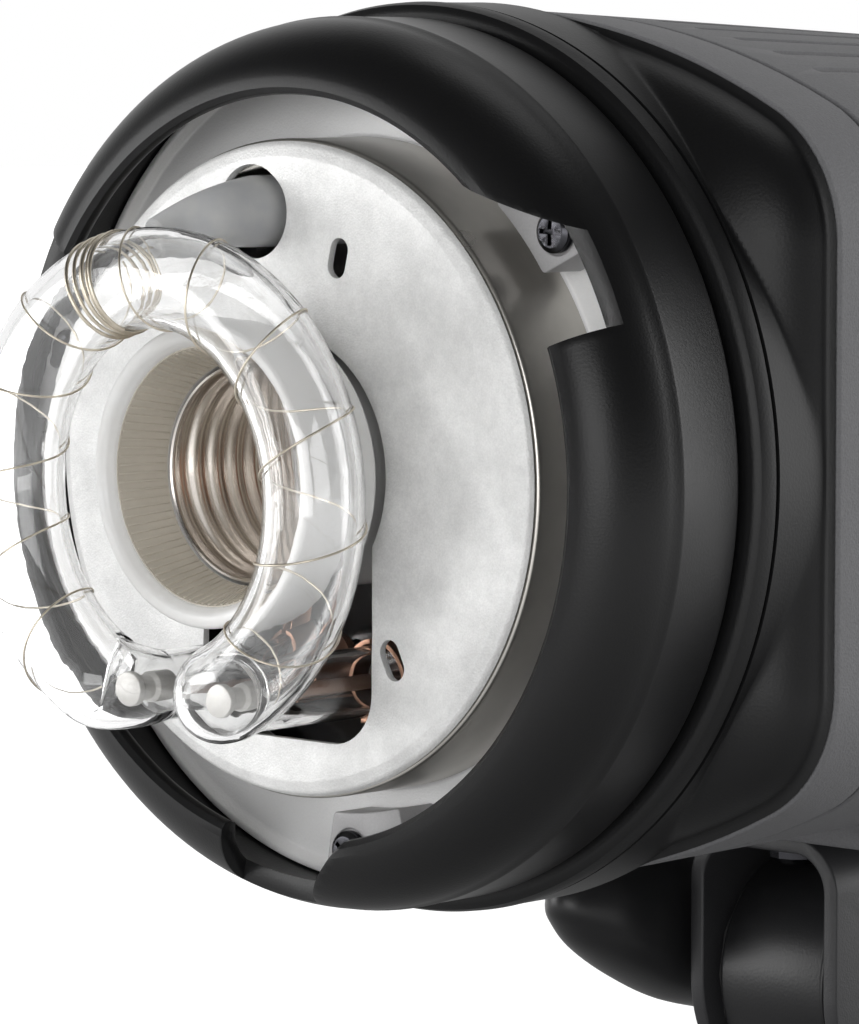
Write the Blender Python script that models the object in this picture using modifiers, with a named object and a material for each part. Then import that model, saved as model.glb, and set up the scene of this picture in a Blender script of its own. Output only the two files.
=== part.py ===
"""Studio flash head with a ring tube, on its tilting stand bracket. Metres, +Z up, front towards -Y."""

import math

import bmesh
import bpy
from mathutils import Matrix, Vector

# Clearances
GAP = 0.0003
SLIDING_FIT = 0.0003
SCREW_FIT = 0.0004

# Stand bracket places
TILT_HEIGHT = 0.072
LIP_AHEAD_OF_TILT = 0.121

# Accessory ring
LIP_RADIUS = 0.050
RING_NOSE_WIDTH = 0.0102
RING_RADIUS = LIP_RADIUS + RING_NOSE_WIDTH
RING_WALL = 0.0027
RING_SHOULDER_Y = 0.0115
RING_BACK_Y = 0.0228
RING_FLOOR_Y = 0.0153
NOTCH_COUNT = 3
NOTCH_DEPTH = 0.006
NOTCH_EDGE_ANGLE = 21.0
NOTCH_SLANT_LIP_ANGLE = 50.4
NOTCH_SLANT_WALL_ANGLE = 32.5
TAB_ANGLE = 40.0
TAB_SPREAD = 7.0
TAB_REACH_FIT = 0.0015
TAB_OUTER_RADIUS = RING_RADIUS - RING_WALL - TAB_REACH_FIT
TAB_THICKNESS = 0.0045
TAB_SCREW_BEHIND_LIP = 0.0014
TAB_SCREW_RADIUS = LIP_RADIUS + TAB_SCREW_BEHIND_LIP
TAB_SCREW_HEAD = 0.0028
TAB_SCREW_HEAD_HEIGHT = 0.0018
TAB_SCREW_SHANK = 0.0014
TAB_SCREW_LENGTH = 0.0125

# Reflector can and plate
SHEET = 0.0010
PLATE_Y = 0.0007
CLAW_CHANNEL = 0.0054
CAN_RADIUS = LIP_RADIUS - CLAW_CHANNEL
PLATE_INSET = 0.0008
PLATE_RADIUS = CAN_RADIUS - PLATE_INSET
CAN_LEDGE = 0.0036
FLANGE_FIT = 0.0020
CAN_FLANGE_RADIUS = RING_RADIUS - RING_WALL - FLANGE_FIT
RING_BORE_FIT = 0.0019
RING_BORE_RADIUS = CAN_RADIUS + RING_BORE_FIT
TAB_INNER_RADIUS = RING_BORE_RADIUS + GAP
CAN_FLANGE_Y = 0.0140
CORE_HOLE_RADIUS = 0.0183
LEG_OPENING_HALF_WIDTH = 0.0158
LEG_OPENING_BOTTOM = -0.0360
LEG_OPENING_CORNER = 0.005
SLEEVE_HOLE_RADIUS = 0.0063
SLEEVE_HOLE_X = -0.006
SLEEVE_HOLE_Z = 0.0343
HAND_SLOTS = ((0.0097, 0.0285, 0.0016, 0.0026, 0.0), (0.0195, -0.0240, 0.0017, 0.0027, -24.0))

# Ring flash tube
TUBE_RING_RADIUS = 0.02725
TUBE_RADIUS = 0.00645
TUBE_WALL = 0.0011
TUBE_Y = -0.0225
TUBE_Z = -0.0015
TUBE_END_ANGLE = 155.0
LEG_RADIUS = 0.0047
LEG_BEND = 0.0085
LEG_END_Y = 0.0190
ELECTRODE_RADIUS = 0.0022
ELECTRODE_LENGTH = 0.0240
CLIP_WALL = 0.0006
CLIP_FRONT_Y = 0.0085
CLIP_LENGTH = 0.0080

# Trigger lead
WIRE_RADIUS = 0.00026
WIRE_CLEARANCE = 0.00030
LASHING_ANGLE = -19.0
LASHING_TURNS = 3
LASHING_PITCH = 0.0013
WIRE_TURNS_RIGHT = 6
WIRE_TURNS_LEFT = 5
WIRE_END_ANGLE = 148.0
TURN_POINTS = 18
SLEEVE_TIP = (-0.0085, -0.0148, 0.0312)
SLEEVE_TIP_RADIUS = 0.0026
SLEEVE_ROOT_RADIUS = 0.0048
SLEEVE_TAIL_Y = 0.0180

# Modelling lamp holder
HOLDER_RIM_RADIUS = 0.0200
HOLDER_RIM_Y = -0.0157
HOLDER_MOUTH_RADIUS = 0.0173
HOLDER_WAIST_RADIUS = 0.0172
HOLDER_WAIST_Y = -0.0020
HOLDER_BORE_RADIUS = 0.0150
HOLDER_BORE_Y = -0.0068
HOLDER_FLOOR_Y = 0.0150
HOLDER_BACK_Y = 0.0208
THREAD_SHELL_RADIUS = 0.0143
THREAD_SHELL_WALL = 0.0006
THREAD_SHELL_FRONT_Y = -0.0062
CONTACT_RADIUS = 0.0042
CONTACT_Y = 0.0095
CARRIER_THICKNESS = 0.0011
CARRIER_INSET = 0.0017
HOLDER_TAIL_RADIUS = 0.0080
HOLDER_TAIL_LENGTH = 0.0080

# Release slide and its pin
PIN_RADIUS = 0.0020
PIN_FRONT_Y = 0.0070
PIN_BACK_Y = 0.0360
SLIDE_FRONT_Y = 0.0278
SLIDE_LENGTH = 0.0042
SLIDE_TRAVEL = 0.0040
SLIDE_STEM_HALF = 0.0035
SLIDE_CAP_HALF = 0.0080
SLIDE_CAP_HEIGHT = 0.0022

# Shroud and case
SHROUD_FRONT_Y = 0.0245
NECK_STEP = 0.0020
NECK_RADIUS = RING_RADIUS + NECK_STEP
NECK_EDGE = 0.0018
FLARE_START_Y = 0.0280
FLARE_INSET = 0.0098
FLARE_SWELL = 1.15
NECK_FALL = 0.0045
NECK_FALL_LENGTH = 0.0070
SHROUD_BACK_Y = 0.0380
SHROUD_WALL = 0.0047
SHROUD_FLOOR = 0.0030
CASE_BACK_Y = 0.2750
CASE_WIDER_THAN_NECK = 0.0018
CASE_LOWER_THAN_NECK = 0.0037
CASE_FRONT_HALF_WIDTH = NECK_RADIUS + CASE_WIDER_THAN_NECK
CASE_FRONT_HALF_HEIGHT = NECK_RADIUS - CASE_LOWER_THAN_NECK
CASE_FRONT_CORNER = 0.0380
CASE_BACK_HALF_WIDTH = 0.0600
CASE_BACK_HALF_HEIGHT = 0.0530
CASE_BACK_CORNER = 0.0300
BEZEL_BACK_Y = 0.0508
COVER_GROOVE = 0.0010
COVER_BACK_Y = 0.2620
CASE_WALL = 0.0024
TONGUE_LENGTH = 0.0040
TONGUE_WALL = 0.0016
CASE_SPLIT_Z = -0.0060
VENT_COUNT = 13
VENT_PITCH = 0.0070
VENT_WIDTH = 0.0018
VENT_LENGTH = 0.0780
VENT_START_Y = 0.0600
PAD_HALF_WIDTH = 0.0240
PAD_LENGTH = 0.0520
PAD_HEIGHT = 0.0031

# Rear panel and its controls
PANEL_FACE = 0.0040
HANDLE_HEIGHT = 0.0400
HANDLE_HALF_WIDTH = 0.0380
HANDLE_REACH = 0.0260
HANDLE_BAR_RADIUS = 0.0060
WINDOW_HALF_WIDTH = 0.0240
WINDOW_HALF_HEIGHT = 0.0095
WINDOW_Z = 0.0180
WINDOW_THICKNESS = 0.0020
DIAL_RADIUS = 0.0115
DIAL_LENGTH = 0.0130
DIAL_Z = -0.0110
DIAL_SHAFT_RADIUS = 0.0030
DIAL_FLUTES = 12
BUTTON_HALF_WIDTH = 0.0056
BUTTON_HALF_HEIGHT = 0.0034
BUTTON_PROUD = 0.0016
BUTTON_TRAVEL = 0.0008
BUTTON_X = 0.0320
BUTTON_UPPER_Z = -0.0020
BUTTON_PITCH = 0.0140
TEST_BUTTON_RADIUS = 0.0042
TEST_BUTTON_X = 0.0440
TEST_BUTTON_Z = 0.0180
SERVICE_Z = -0.0360
INLET_X = 0.0245
INLET_HALF_WIDTH = 0.0140
INLET_HALF_HEIGHT = 0.0100
INLET_DEPTH = 0.0180
INLET_FLANGE = 0.0022
SWITCH_X = -0.0015
SWITCH_HALF_WIDTH = 0.0075
SWITCH_HALF_HEIGHT = 0.0105
SWITCH_DEPTH = 0.0140
ROCKER_TILT = 8.0
FUSE_X = -0.0205
FUSE_RADIUS = 0.0070
FUSE_LENGTH = 0.0240
FUSE_CAP_RADIUS = 0.0056
JACK_X = -0.0360
JACK_RADIUS = 0.0042
JACK_BORE_RADIUS = 0.0018
JACK_LENGTH = 0.0110
SENSOR_X = -0.0440
SENSOR_Z = 0.0180
SENSOR_RADIUS = 0.0055

# Inside the case
BOARD_THICKNESS = 0.0016
BOARD_HALF_WIDTH = 0.0340
BOARD_FRONT_Y = 0.0720
BOARD_LENGTH = 0.1500
BOARD_LIFT = 0.0080
BOARD_Z = BOARD_LIFT - CASE_BACK_HALF_HEIGHT
POST_RADIUS = 0.0030
CAPACITOR_RADIUS = 0.0175
CAPACITOR_LENGTH = 0.0780
CAPACITOR_X = 0.0182
CAPACITOR_Y = 0.1060
COIL_RADIUS = 0.0070
COIL_LENGTH = 0.0200
COIL_Y = 0.0770
FAN_SIZE = 0.0500
FAN_THICKNESS = 0.0120
FAN_Y = 0.2000
FAN_BLADES = 7
FAN_HUB_RADIUS = 0.0110
CONTROL_BOARD_HALF_WIDTH = 0.0460
CONTROL_BOARD_HALF_HEIGHT = 0.0200
CONTROL_BOARD_Y = 0.2555
CONTROL_BOARD_Z = 0.0040

# Stand bracket
EAR_GAP_HALF = 0.0115
FORK_STEEL = 0.0025
FORK_DROP = 0.0230
FORK_BEND = 0.0080
EAR_RADIUS = 0.0200
BOLT_RADIUS = 0.0038
BOLT_HEAD_RADIUS = 0.0072
BOLT_HEAD_HEIGHT = 0.0050
BOLT_END = 0.0235
WASHER_THICKNESS = 0.0010
WASHER_RADIUS = 0.0165
BARREL_RADIUS = 0.0180
BRACKET_SCREW_SPACING = 0.0240
BRACKET_SCREW_RADIUS = 0.0022
BRACKET_SCREW_HEAD = 0.0042
BRACKET_SCREW_HEAD_HEIGHT = 0.0024
BRACKET_SCREW_GRIP = 0.0060
LEVER_COLLAR_RADIUS = 0.0080
LEVER_COLLAR = 0.0030
LEVER_THICKNESS = 0.0128
LEVER_HUB_RADIUS = 0.0138
LEVER_TIP_RADIUS = 0.0040
LEVER_REACH = 0.0335
LEVER_RISE = 11.0
LEVER_EDGE = 0.0038

# Stand adapter
SPIGOT_DIAMETER = 0.0159
SPIGOT_FIT = 0.0004
SOCKET_DEPTH = 0.0360
SOCKET_RADIUS = 0.0140
NECK_DEPTH_HALF = 0.0120
UMBRELLA_HEIGHT = 0.0455
UMBRELLA_BORE_RADIUS = 0.0048
LOCK_HEIGHT = 0.0190
LOCK_BOSS_RADIUS = 0.0085
LOCK_BOSS_REACH = 0.0185
LOCK_SCREW_RADIUS = 0.0040
LOCK_KNOB_RADIUS = 0.0125
LOCK_KNOB_WAVE = 0.0016
LOCK_KNOB_LOBES = 6
LOCK_KNOB_LENGTH = 0.0130
UMBRELLA_BOSS_RADIUS = 0.0042
UMBRELLA_BOSS_REACH = 0.0150
UMBRELLA_SCREW_RADIUS = 0.0021
UMBRELLA_KNOB_RADIUS = 0.0065
UMBRELLA_KNOB_LENGTH = 0.0095

# Facets
ROUND = 44
MEDIUM = 24
SMALL = 16
CORNER_STEPS = 5
SHROUD_FACETS = 48
CUT = 0.0010

# Turns that lay a shape made along Z onto another axis, or a flat outline into the XZ plane
ALONG_Y = Matrix.Rotation(math.radians(-90), 4, "X")
ALONG_X = Matrix.Rotation(math.radians(90), 4, "Y")
FACING_FRONT = Matrix.Rotation(math.radians(90), 4, "X")
FACING_SIDE = Matrix(((0, 0, 1, 0), (1, 0, 0, 0), (0, 1, 0, 0), (0, 0, 0, 1)))


def clear_scene():
    for obj in list(bpy.data.objects):
        bpy.data.objects.remove(obj)


def make_collection(name):
    collection = bpy.data.collections.new(name)
    bpy.context.scene.collection.children.link(collection)
    return collection


def make_material(name, colour, roughness, metallic=0.0, transmission=0.0):
    material = bpy.data.materials.new(name)
    material.use_nodes = True
    shader = material.node_tree.nodes["Principled BSDF"]
    shader.inputs["Base Color"].default_value = (*colour, 1.0)
    shader.inputs["Roughness"].default_value = roughness
    shader.inputs["Metallic"].default_value = metallic
    shader.inputs["Transmission Weight"].default_value = transmission
    material.diffuse_color = (*colour, 1.0)
    return material


clear_scene()
PART = make_collection("studio_flash")
CUTTERS = make_collection("cutters")
BLACK_PLASTIC = make_material("black_plastic", (0.022, 0.022, 0.023), 0.55)
GREY_CASE = make_material("grey_case", (0.13, 0.13, 0.135), 0.6)
GREY_PLASTIC = make_material("grey_plastic", (0.28, 0.28, 0.28), 0.5)
SATIN_ALUMINIUM = make_material("satin_aluminium", (0.80, 0.80, 0.81), 0.45, 1.0)
STEEL = make_material("steel", (0.55, 0.55, 0.56), 0.35, 1.0)
DARK_STEEL = make_material("dark_steel", (0.05, 0.05, 0.055), 0.4, 1.0)
COPPER = make_material("copper", (0.72, 0.40, 0.25), 0.35, 1.0)
CERAMIC = make_material("ceramic", (0.85, 0.84, 0.81), 0.35)
QUARTZ = make_material("quartz", (0.95, 0.96, 0.97), 0.03, 0.0, 1.0)
SILICONE = make_material("silicone", (0.80, 0.80, 0.78), 0.45)
WIRE_NICKEL = make_material("wire_nickel", (0.42, 0.40, 0.38), 0.35, 1.0)
CAST_METAL = make_material("cast_metal", (0.09, 0.09, 0.095), 0.5, 0.6)
BLACK_PAINT = make_material("black_paint", (0.03, 0.03, 0.032), 0.45)
RUBBER = make_material("rubber", (0.03, 0.03, 0.03), 0.8)
BOARD_GREEN = make_material("board_green", (0.03, 0.16, 0.07), 0.5)
CAN_BLACK = make_material("capacitor_black", (0.03, 0.03, 0.045), 0.3)
SMOKED_WINDOW = make_material("smoked_window", (0.015, 0.015, 0.018), 0.08)


def make_empty(name, location, parent=None):
    empty = bpy.data.objects.new(name, None)
    empty.location = location
    empty.parent = parent
    PART.objects.link(empty)
    return empty


def case_size(y):
    """Half width, half height and corner radius of the case's section at a place along it."""
    share = (y - SHROUD_BACK_Y) / (CASE_BACK_Y - SHROUD_BACK_Y)
    half_width = CASE_FRONT_HALF_WIDTH + (CASE_BACK_HALF_WIDTH - CASE_FRONT_HALF_WIDTH) * share
    half_height = CASE_FRONT_HALF_HEIGHT + (CASE_BACK_HALF_HEIGHT - CASE_FRONT_HALF_HEIGHT) * share
    corner = CASE_FRONT_CORNER + (CASE_BACK_CORNER - CASE_FRONT_CORNER) * share
    return half_width, half_height, corner


# The bracket's places follow the underside of the case above the tilt axis
PAD_BOTTOM_Z = -case_size(LIP_AHEAD_OF_TILT)[1] - PAD_HEIGHT
FORK_TOP_Z = PAD_BOTTOM_Z - GAP
FLASH_ABOVE_TILT = FORK_DROP - FORK_TOP_Z
TILT_AXIS = make_empty("tilt_axis", (0.0, 0.0, TILT_HEIGHT))
FLASH_AXIS = make_empty("flash_axis", (0.0, -LIP_AHEAD_OF_TILT, FLASH_ABOVE_TILT), TILT_AXIS)


def radians(angle):
    return math.radians(angle)


def polar(radius, angle):
    """A point of the XZ plane, as (x, z), with the angle in degrees from +X towards +Z."""
    return (radius * math.cos(radians(angle)), radius * math.sin(radians(angle)))


def add_object(name, mesh, material, parent=None, location=(0, 0, 0)):
    obj = bpy.data.objects.new(name, mesh)
    mesh.name = name
    mesh.materials.clear()
    mesh.materials.append(material)
    mesh.shade_smooth()
    mesh.set_sharp_from_angle(angle=radians(35))
    obj.parent = parent
    obj.location = location
    PART.objects.link(obj)
    return obj


def tidy_mesh(mesh, turn=None):
    """Welds doubled points, points the faces out and turns the mesh."""
    bm = bmesh.new()
    bm.from_mesh(mesh)
    bmesh.ops.remove_doubles(bm, verts=bm.verts, dist=2e-6)
    bmesh.ops.recalc_face_normals(bm, faces=bm.faces)
    if turn is not None:
        bm.transform(turn)
    bm.to_mesh(mesh)
    bm.free()
    return mesh


def evaluated_mesh(obj):
    """The object's final mesh as a new mesh; the object itself is removed."""
    bpy.context.view_layer.update()
    graph = bpy.context.evaluated_depsgraph_get()
    mesh = bpy.data.meshes.new_from_object(obj.evaluated_get(graph))
    bpy.data.objects.remove(obj)
    return mesh


def turned(profile, segments=MEDIUM, turn=ALONG_Y, closed=False):
    """Turns a profile of (radius, place along the axis) points, by default about the Y axis."""
    bm = bmesh.new()
    points = [bm.verts.new((radius, 0.0, along)) for radius, along in profile]
    pairs = list(zip(points, points[1:]))
    if closed:
        pairs.append((points[-1], points[0]))
    for pair in pairs:
        bm.edges.new(pair)
    mesh = bpy.data.meshes.new("profile")
    bm.to_mesh(mesh)
    bm.free()
    obj = bpy.data.objects.new("profile", mesh)
    bpy.context.scene.collection.objects.link(obj)
    screw = obj.modifiers.new("turn", "SCREW")
    screw.steps = segments
    screw.render_steps = segments
    screw.use_merge_vertices = True
    screw.merge_threshold = 1e-6
    return tidy_mesh(evaluated_mesh(obj), turn)


def disc(radius, start, end, segments=MEDIUM, turn=ALONG_Y):
    return turned([(0, end), (radius, end), (radius, start), (0, start)], segments, turn)


def flat_piece(outlines, thickness, turn=FACING_FRONT):
    """A sheet with the given outlines: the first is its edge, the rest are holes."""
    curve = bpy.data.curves.new("outline", "CURVE")
    curve.dimensions = "2D"
    curve.fill_mode = "BOTH"
    curve.extrude = thickness / 2
    for outline in outlines:
        spline = curve.splines.new("POLY")
        spline.points.add(len(outline) - 1)
        for point, (x, y) in zip(spline.points, outline):
            point.co = (x, y, 0.0, 1.0)
        spline.use_cyclic_u = True
    obj = bpy.data.objects.new("outline", curve)
    bpy.context.scene.collection.objects.link(obj)
    return tidy_mesh(evaluated_mesh(obj), turn)


def swept(points, radius, resolution, radii=None):
    """A round tube along the points, with closed ends."""
    curve = bpy.data.curves.new("path", "CURVE")
    curve.dimensions = "3D"
    curve.bevel_depth = radius
    curve.bevel_resolution = resolution
    curve.use_fill_caps = True
    spline = curve.splines.new("POLY")
    spline.points.add(len(points) - 1)
    for i, (point, place) in enumerate(zip(spline.points, points)):
        point.co = (*place, 1.0)
        point.radius = radii[i] / radius if radii else 1.0
    obj = bpy.data.objects.new("path", curve)
    bpy.context.scene.collection.objects.link(obj)
    return tidy_mesh(evaluated_mesh(obj))


def lofted(rings, loop=False):
    """Joins rings of as many points each; loop closes the last on the first, as for a shell."""
    bm = bmesh.new()
    rows = [[bm.verts.new(point) for point in ring] for ring in rings]
    followers = rows[1:] + rows[:1] if loop else rows[1:]
    for near, far in zip(rows, followers):
        for i in range(len(near)):
            j = (i + 1) % len(near)
            bm.faces.new((near[i], near[j], far[j], far[i]))
    if not loop:
        bm.faces.new(rows[0])
        bm.faces.new(rows[-1])
    bmesh.ops.recalc_face_normals(bm, faces=bm.faces)
    mesh = bpy.data.meshes.new("loft")
    bm.to_mesh(mesh)
    bm.free()
    return mesh


def block(size, centre, edge=0.0, segments=2):
    """A box of the given size about its centre, with its edges rounded by edge."""
    bm = bmesh.new()
    bmesh.ops.create_cube(bm, size=1.0)
    bmesh.ops.scale(bm, vec=size, verts=bm.verts)
    if edge:
        bmesh.ops.bevel(bm, geom=bm.edges, offset=edge, segments=segments, profile=0.5, affect="EDGES")
    bmesh.ops.translate(bm, vec=centre, verts=bm.verts)
    mesh = bpy.data.meshes.new("block")
    bm.to_mesh(mesh)
    bm.free()
    return mesh


def moved(mesh, offset):
    mesh.transform(Matrix.Translation(offset))
    return mesh


def circle(radius, centre=(0.0, 0.0), segments=MEDIUM):
    return [
        (centre[0] + radius * math.cos(math.tau * i / segments), centre[1] + radius * math.sin(math.tau * i / segments))
        for i in range(segments)
    ]


def rounded_rectangle(half_width, half_height, corner, steps=4, centre=(0.0, 0.0)):
    points = []
    for x_side, y_side, start in ((1, 1, 0), (-1, 1, 90), (-1, -1, 180), (1, -1, 270)):
        for i in range(steps + 1):
            angle = radians(start + 90 * i / steps)
            points.append((
                centre[0] + x_side * (half_width - corner) + corner * math.cos(angle),
                centre[1] + y_side * (half_height - corner) + corner * math.sin(angle),
            ))
    return points


def tilted(outline, angle, centre):
    """The outline turned by an angle in degrees about its own middle, then moved to the centre."""
    cos, sin = math.cos(radians(angle)), math.sin(radians(angle))
    return [(centre[0] + x * cos - y * sin, centre[1] + x * sin + y * cos) for x, y in outline]


def boolean(obj, mesh, operation):
    """Cuts the mesh from the object, or joins it, in the object's own frame."""
    tool = bpy.data.objects.new(f"{obj.name}_{operation.lower()}", mesh)
    tool.parent = obj
    tool.hide_render = True
    tool.display_type = "WIRE"
    CUTTERS.objects.link(tool)
    modifier = obj.modifiers.new(operation.lower(), "BOOLEAN")
    modifier.operation = operation
    modifier.solver = "EXACT"
    modifier.object = tool
    return obj


def cut(obj, mesh):
    return boolean(obj, mesh, "DIFFERENCE")


def join(obj, mesh):
    return boolean(obj, mesh, "UNION")


def soften(obj, width, segments=2, angle=50):
    bevel = obj.modifiers.new("soft_edges", "BEVEL")
    bevel.width = width
    bevel.segments = segments
    bevel.limit_method = "ANGLE"
    bevel.angle_limit = radians(angle)
    return obj


def nose_arc(wall_radius, front_y, start, end, steps):
    """Quarter ellipse of the ring's nose from the lip to the wall, between two angles in degrees."""
    points = []
    for i in range(steps + 1):
        angle = radians(start + (end - start) * i / steps)
        points.append((
            LIP_RADIUS + (wall_radius - LIP_RADIUS) * math.sin(angle),
            RING_SHOULDER_Y - (RING_SHOULDER_Y - front_y) * math.cos(angle),
        ))
    return points


def notch_outline():
    """One claw notch: a radial edge and a slanted edge, drawn past the lip and the wall."""
    inner = Vector(polar(LIP_RADIUS, NOTCH_SLANT_LIP_ANGLE))
    outer = Vector(polar(RING_RADIUS, NOTCH_SLANT_WALL_ANGLE))
    slant = (outer - inner).normalized()
    beyond = 0.003
    return [
        polar(LIP_RADIUS - beyond, NOTCH_EDGE_ANGLE),
        polar(RING_RADIUS + beyond, NOTCH_EDGE_ANGLE),
        tuple(outer + slant * beyond),
        tuple(inner - slant * beyond),
    ]


def around(outline, index, count):
    """The outline turned to one of count even places about the flash axis."""
    return tilted(outline, 360 * index / count, (0.0, 0.0))


def screw_places():
    return [polar(TAB_SCREW_RADIUS, TAB_ANGLE + 360 * i / NOTCH_COUNT) for i in range(NOTCH_COUNT)]


def pin_place():
    return polar(TAB_SCREW_RADIUS, 180)


def make_mount_ring():
    lip_edge = 0.0011
    profile = [(LIP_RADIUS, lip_edge * 1.1), (LIP_RADIUS + lip_edge * 0.3, lip_edge * 0.3)]
    profile += nose_arc(RING_RADIUS, 0.0, 10, 90, 5)
    profile += [(RING_RADIUS, RING_BACK_Y), (RING_BORE_RADIUS, RING_BACK_Y), (RING_BORE_RADIUS, RING_FLOOR_Y)]
    channel = RING_RADIUS - RING_WALL
    profile += [(channel, RING_FLOOR_Y)]
    profile += nose_arc(channel, RING_WALL * 0.95, 90, 0, 2)
    ring = add_object("mount_ring", turned(profile, ROUND, closed=True), BLACK_PLASTIC, FLASH_AXIS)
    for i in range(NOTCH_COUNT):
        notch = flat_piece([around(notch_outline(), i, NOTCH_COUNT)], NOTCH_DEPTH + CUT)
        cut(ring, moved(notch, (0, (NOTCH_DEPTH - CUT) / 2, 0)))
    for x, z in screw_places():
        hole = disc(TAB_SCREW_SHANK + SCREW_FIT, RING_FLOOR_Y - CUT, RING_BACK_Y + CUT, 12)
        cut(ring, moved(hole, (x, 0, z)))
    x, z = pin_place()
    cut(ring, moved(disc(PIN_RADIUS + SLIDING_FIT, RING_FLOOR_Y - CUT, RING_BACK_Y + CUT, 16), (x, 0, z)))


def make_ring_tabs():
    inner = polar(TAB_INNER_RADIUS, TAB_ANGLE)
    corners = [
        Vector(inner),
        Vector(polar(TAB_OUTER_RADIUS, TAB_ANGLE - TAB_SPREAD)),
        Vector(polar(TAB_OUTER_RADIUS, TAB_ANGLE + TAB_SPREAD)),
    ]
    middle = sum(corners, Vector((0, 0))) / 3
    rounding = 0.0014
    outline = []
    for corner in corners:
        centre = corner + (middle - corner).normalized() * rounding * 2
        outward = (corner - centre).normalized()
        start = math.degrees(math.atan2(outward.y, outward.x))
        for step in (-60, -20, 20, 60):
            x, z = polar(rounding, start + step)
            outline.append((centre.x + x, centre.y + z))
    seat = CAN_FLANGE_Y - GAP
    for i, (x, z) in enumerate(screw_places()):
        hole = circle(TAB_SCREW_SHANK + SCREW_FIT, (x, z), 12)
        tab = flat_piece([around(outline, i, NOTCH_COUNT), hole], TAB_THICKNESS)
        moved(tab, (0, seat - TAB_THICKNESS / 2, 0))
        add_object(f"ring_tab_{i + 1}", tab, GREY_PLASTIC, FLASH_AXIS)
        under_head = seat - TAB_THICKNESS - GAP
        crown = under_head - TAB_SCREW_HEAD_HEIGHT
        screw = turned([
            (0, under_head + TAB_SCREW_LENGTH),
            (TAB_SCREW_SHANK, under_head + TAB_SCREW_LENGTH),
            (TAB_SCREW_SHANK, under_head),
            (TAB_SCREW_HEAD, under_head),
            (TAB_SCREW_HEAD, crown + 0.0007),
            (TAB_SCREW_HEAD * 0.72, crown + 0.0001),
            (0, crown),
        ], 12)
        add_object(f"tab_screw_{i + 1}", moved(screw, (x, 0, z)), DARK_STEEL, FLASH_AXIS)


def make_reflector_can():
    front = PLATE_Y + SHEET + GAP
    inside = CAN_RADIUS - SHEET
    can = turned([
        (CAN_RADIUS - CAN_LEDGE, front),
        (CAN_RADIUS, front),
        (CAN_RADIUS, CAN_FLANGE_Y),
        (CAN_FLANGE_RADIUS, CAN_FLANGE_Y),
        (CAN_FLANGE_RADIUS, CAN_FLANGE_Y + SHEET),
        (inside, CAN_FLANGE_Y + SHEET),
        (inside, front + SHEET),
        (CAN_RADIUS - CAN_LEDGE, front + SHEET),
    ], ROUND, closed=True)
    can = add_object("reflector_can", can, SATIN_ALUMINIUM, FLASH_AXIS)
    for x, z in screw_places():
        hole = disc(TAB_SCREW_SHANK + SCREW_FIT, CAN_FLANGE_Y - CUT, CAN_FLANGE_Y + SHEET + CUT, 12)
        cut(can, moved(hole, (x, 0, z)))
    x, z = pin_place()
    cut(can, moved(disc(PIN_RADIUS + SLIDING_FIT, CAN_FLANGE_Y - CUT, CAN_FLANGE_Y + SHEET + CUT, 16), (x, 0, z)))


def keyhole_outline():
    """The round core hole run into the square-cornered opening of the tube's legs below it."""
    entry = math.degrees(math.asin(LEG_OPENING_HALF_WIDTH / CORE_HOLE_RADIUS))
    steps = 22
    points = []
    for i in range(steps + 1):
        angle = -90 + entry + (360 - 2 * entry) * i / steps
        points.append(polar(CORE_HOLE_RADIUS, angle))
    corner_z = LEG_OPENING_BOTTOM + LEG_OPENING_CORNER
    corner_x = LEG_OPENING_HALF_WIDTH - LEG_OPENING_CORNER
    for side, start in ((-1, 180), (1, 270)):
        for i in range(5):
            x, z = polar(LEG_OPENING_CORNER, start + 90 * i / 4)
            points.append((side * corner_x + x, corner_z + z))
    return points


def make_reflector_plate():
    outlines = [circle(PLATE_RADIUS, segments=ROUND), keyhole_outline()]
    outlines.append(circle(SLEEVE_HOLE_RADIUS, (SLEEVE_HOLE_X, SLEEVE_HOLE_Z), SMALL))
    for x, z, half_width, half_height, lean in HAND_SLOTS:
        slot = rounded_rectangle(half_width, half_height, half_width * 0.9, 3)
        outlines.append(tilted(slot, lean, (x, z)))
    plate = moved(flat_piece(outlines, SHEET), (0, PLATE_Y + SHEET / 2, 0))
    add_object("reflector_plate", plate, SATIN_ALUMINIUM, FLASH_AXIS)


def tube_ring_point(angle, out=0.0, back=0.0):
    """A point by the tube's ring at an angle from its top, out from its centre line and back from it."""
    radius = TUBE_RING_RADIUS + out
    return Vector((radius * math.sin(radians(angle)), TUBE_Y + back, TUBE_Z + radius * math.cos(radians(angle))))


def tube_path(extra=0.0):
    """Centre line of the tube from leg end to leg end, with the bore's scale at each point."""
    half = []
    steps = 14
    for i in range(steps + 1):
        half.append((tube_ring_point(TUBE_END_ANGLE * i / steps), 1.0))
    end = tube_ring_point(TUBE_END_ANGLE)
    along = Vector((math.cos(radians(TUBE_END_ANGLE)), 0, -math.sin(radians(TUBE_END_ANGLE))))
    turn_steps = 5
    narrow = LEG_RADIUS / TUBE_RADIUS
    for i in range(1, turn_steps + 1):
        angle = radians(90 * i / turn_steps)
        point = end + along * LEG_BEND * math.sin(angle) * 0.4 + Vector((0, LEG_BEND * (1 - math.cos(angle)), 0))
        half.append((point, 1.0 + (narrow - 1.0) * i / turn_steps))
    last = half[-1][0]
    half.append((Vector((last.x, LEG_END_Y + extra, last.z)), narrow))
    mirrored = [(Vector((-point.x, point.y, point.z)), scale) for point, scale in reversed(half[1:])]
    return mirrored + half


def leg_place():
    """(x, z) of the right leg's centre line."""
    point = tube_path()[-1][0]
    return point.x, point.z


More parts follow.
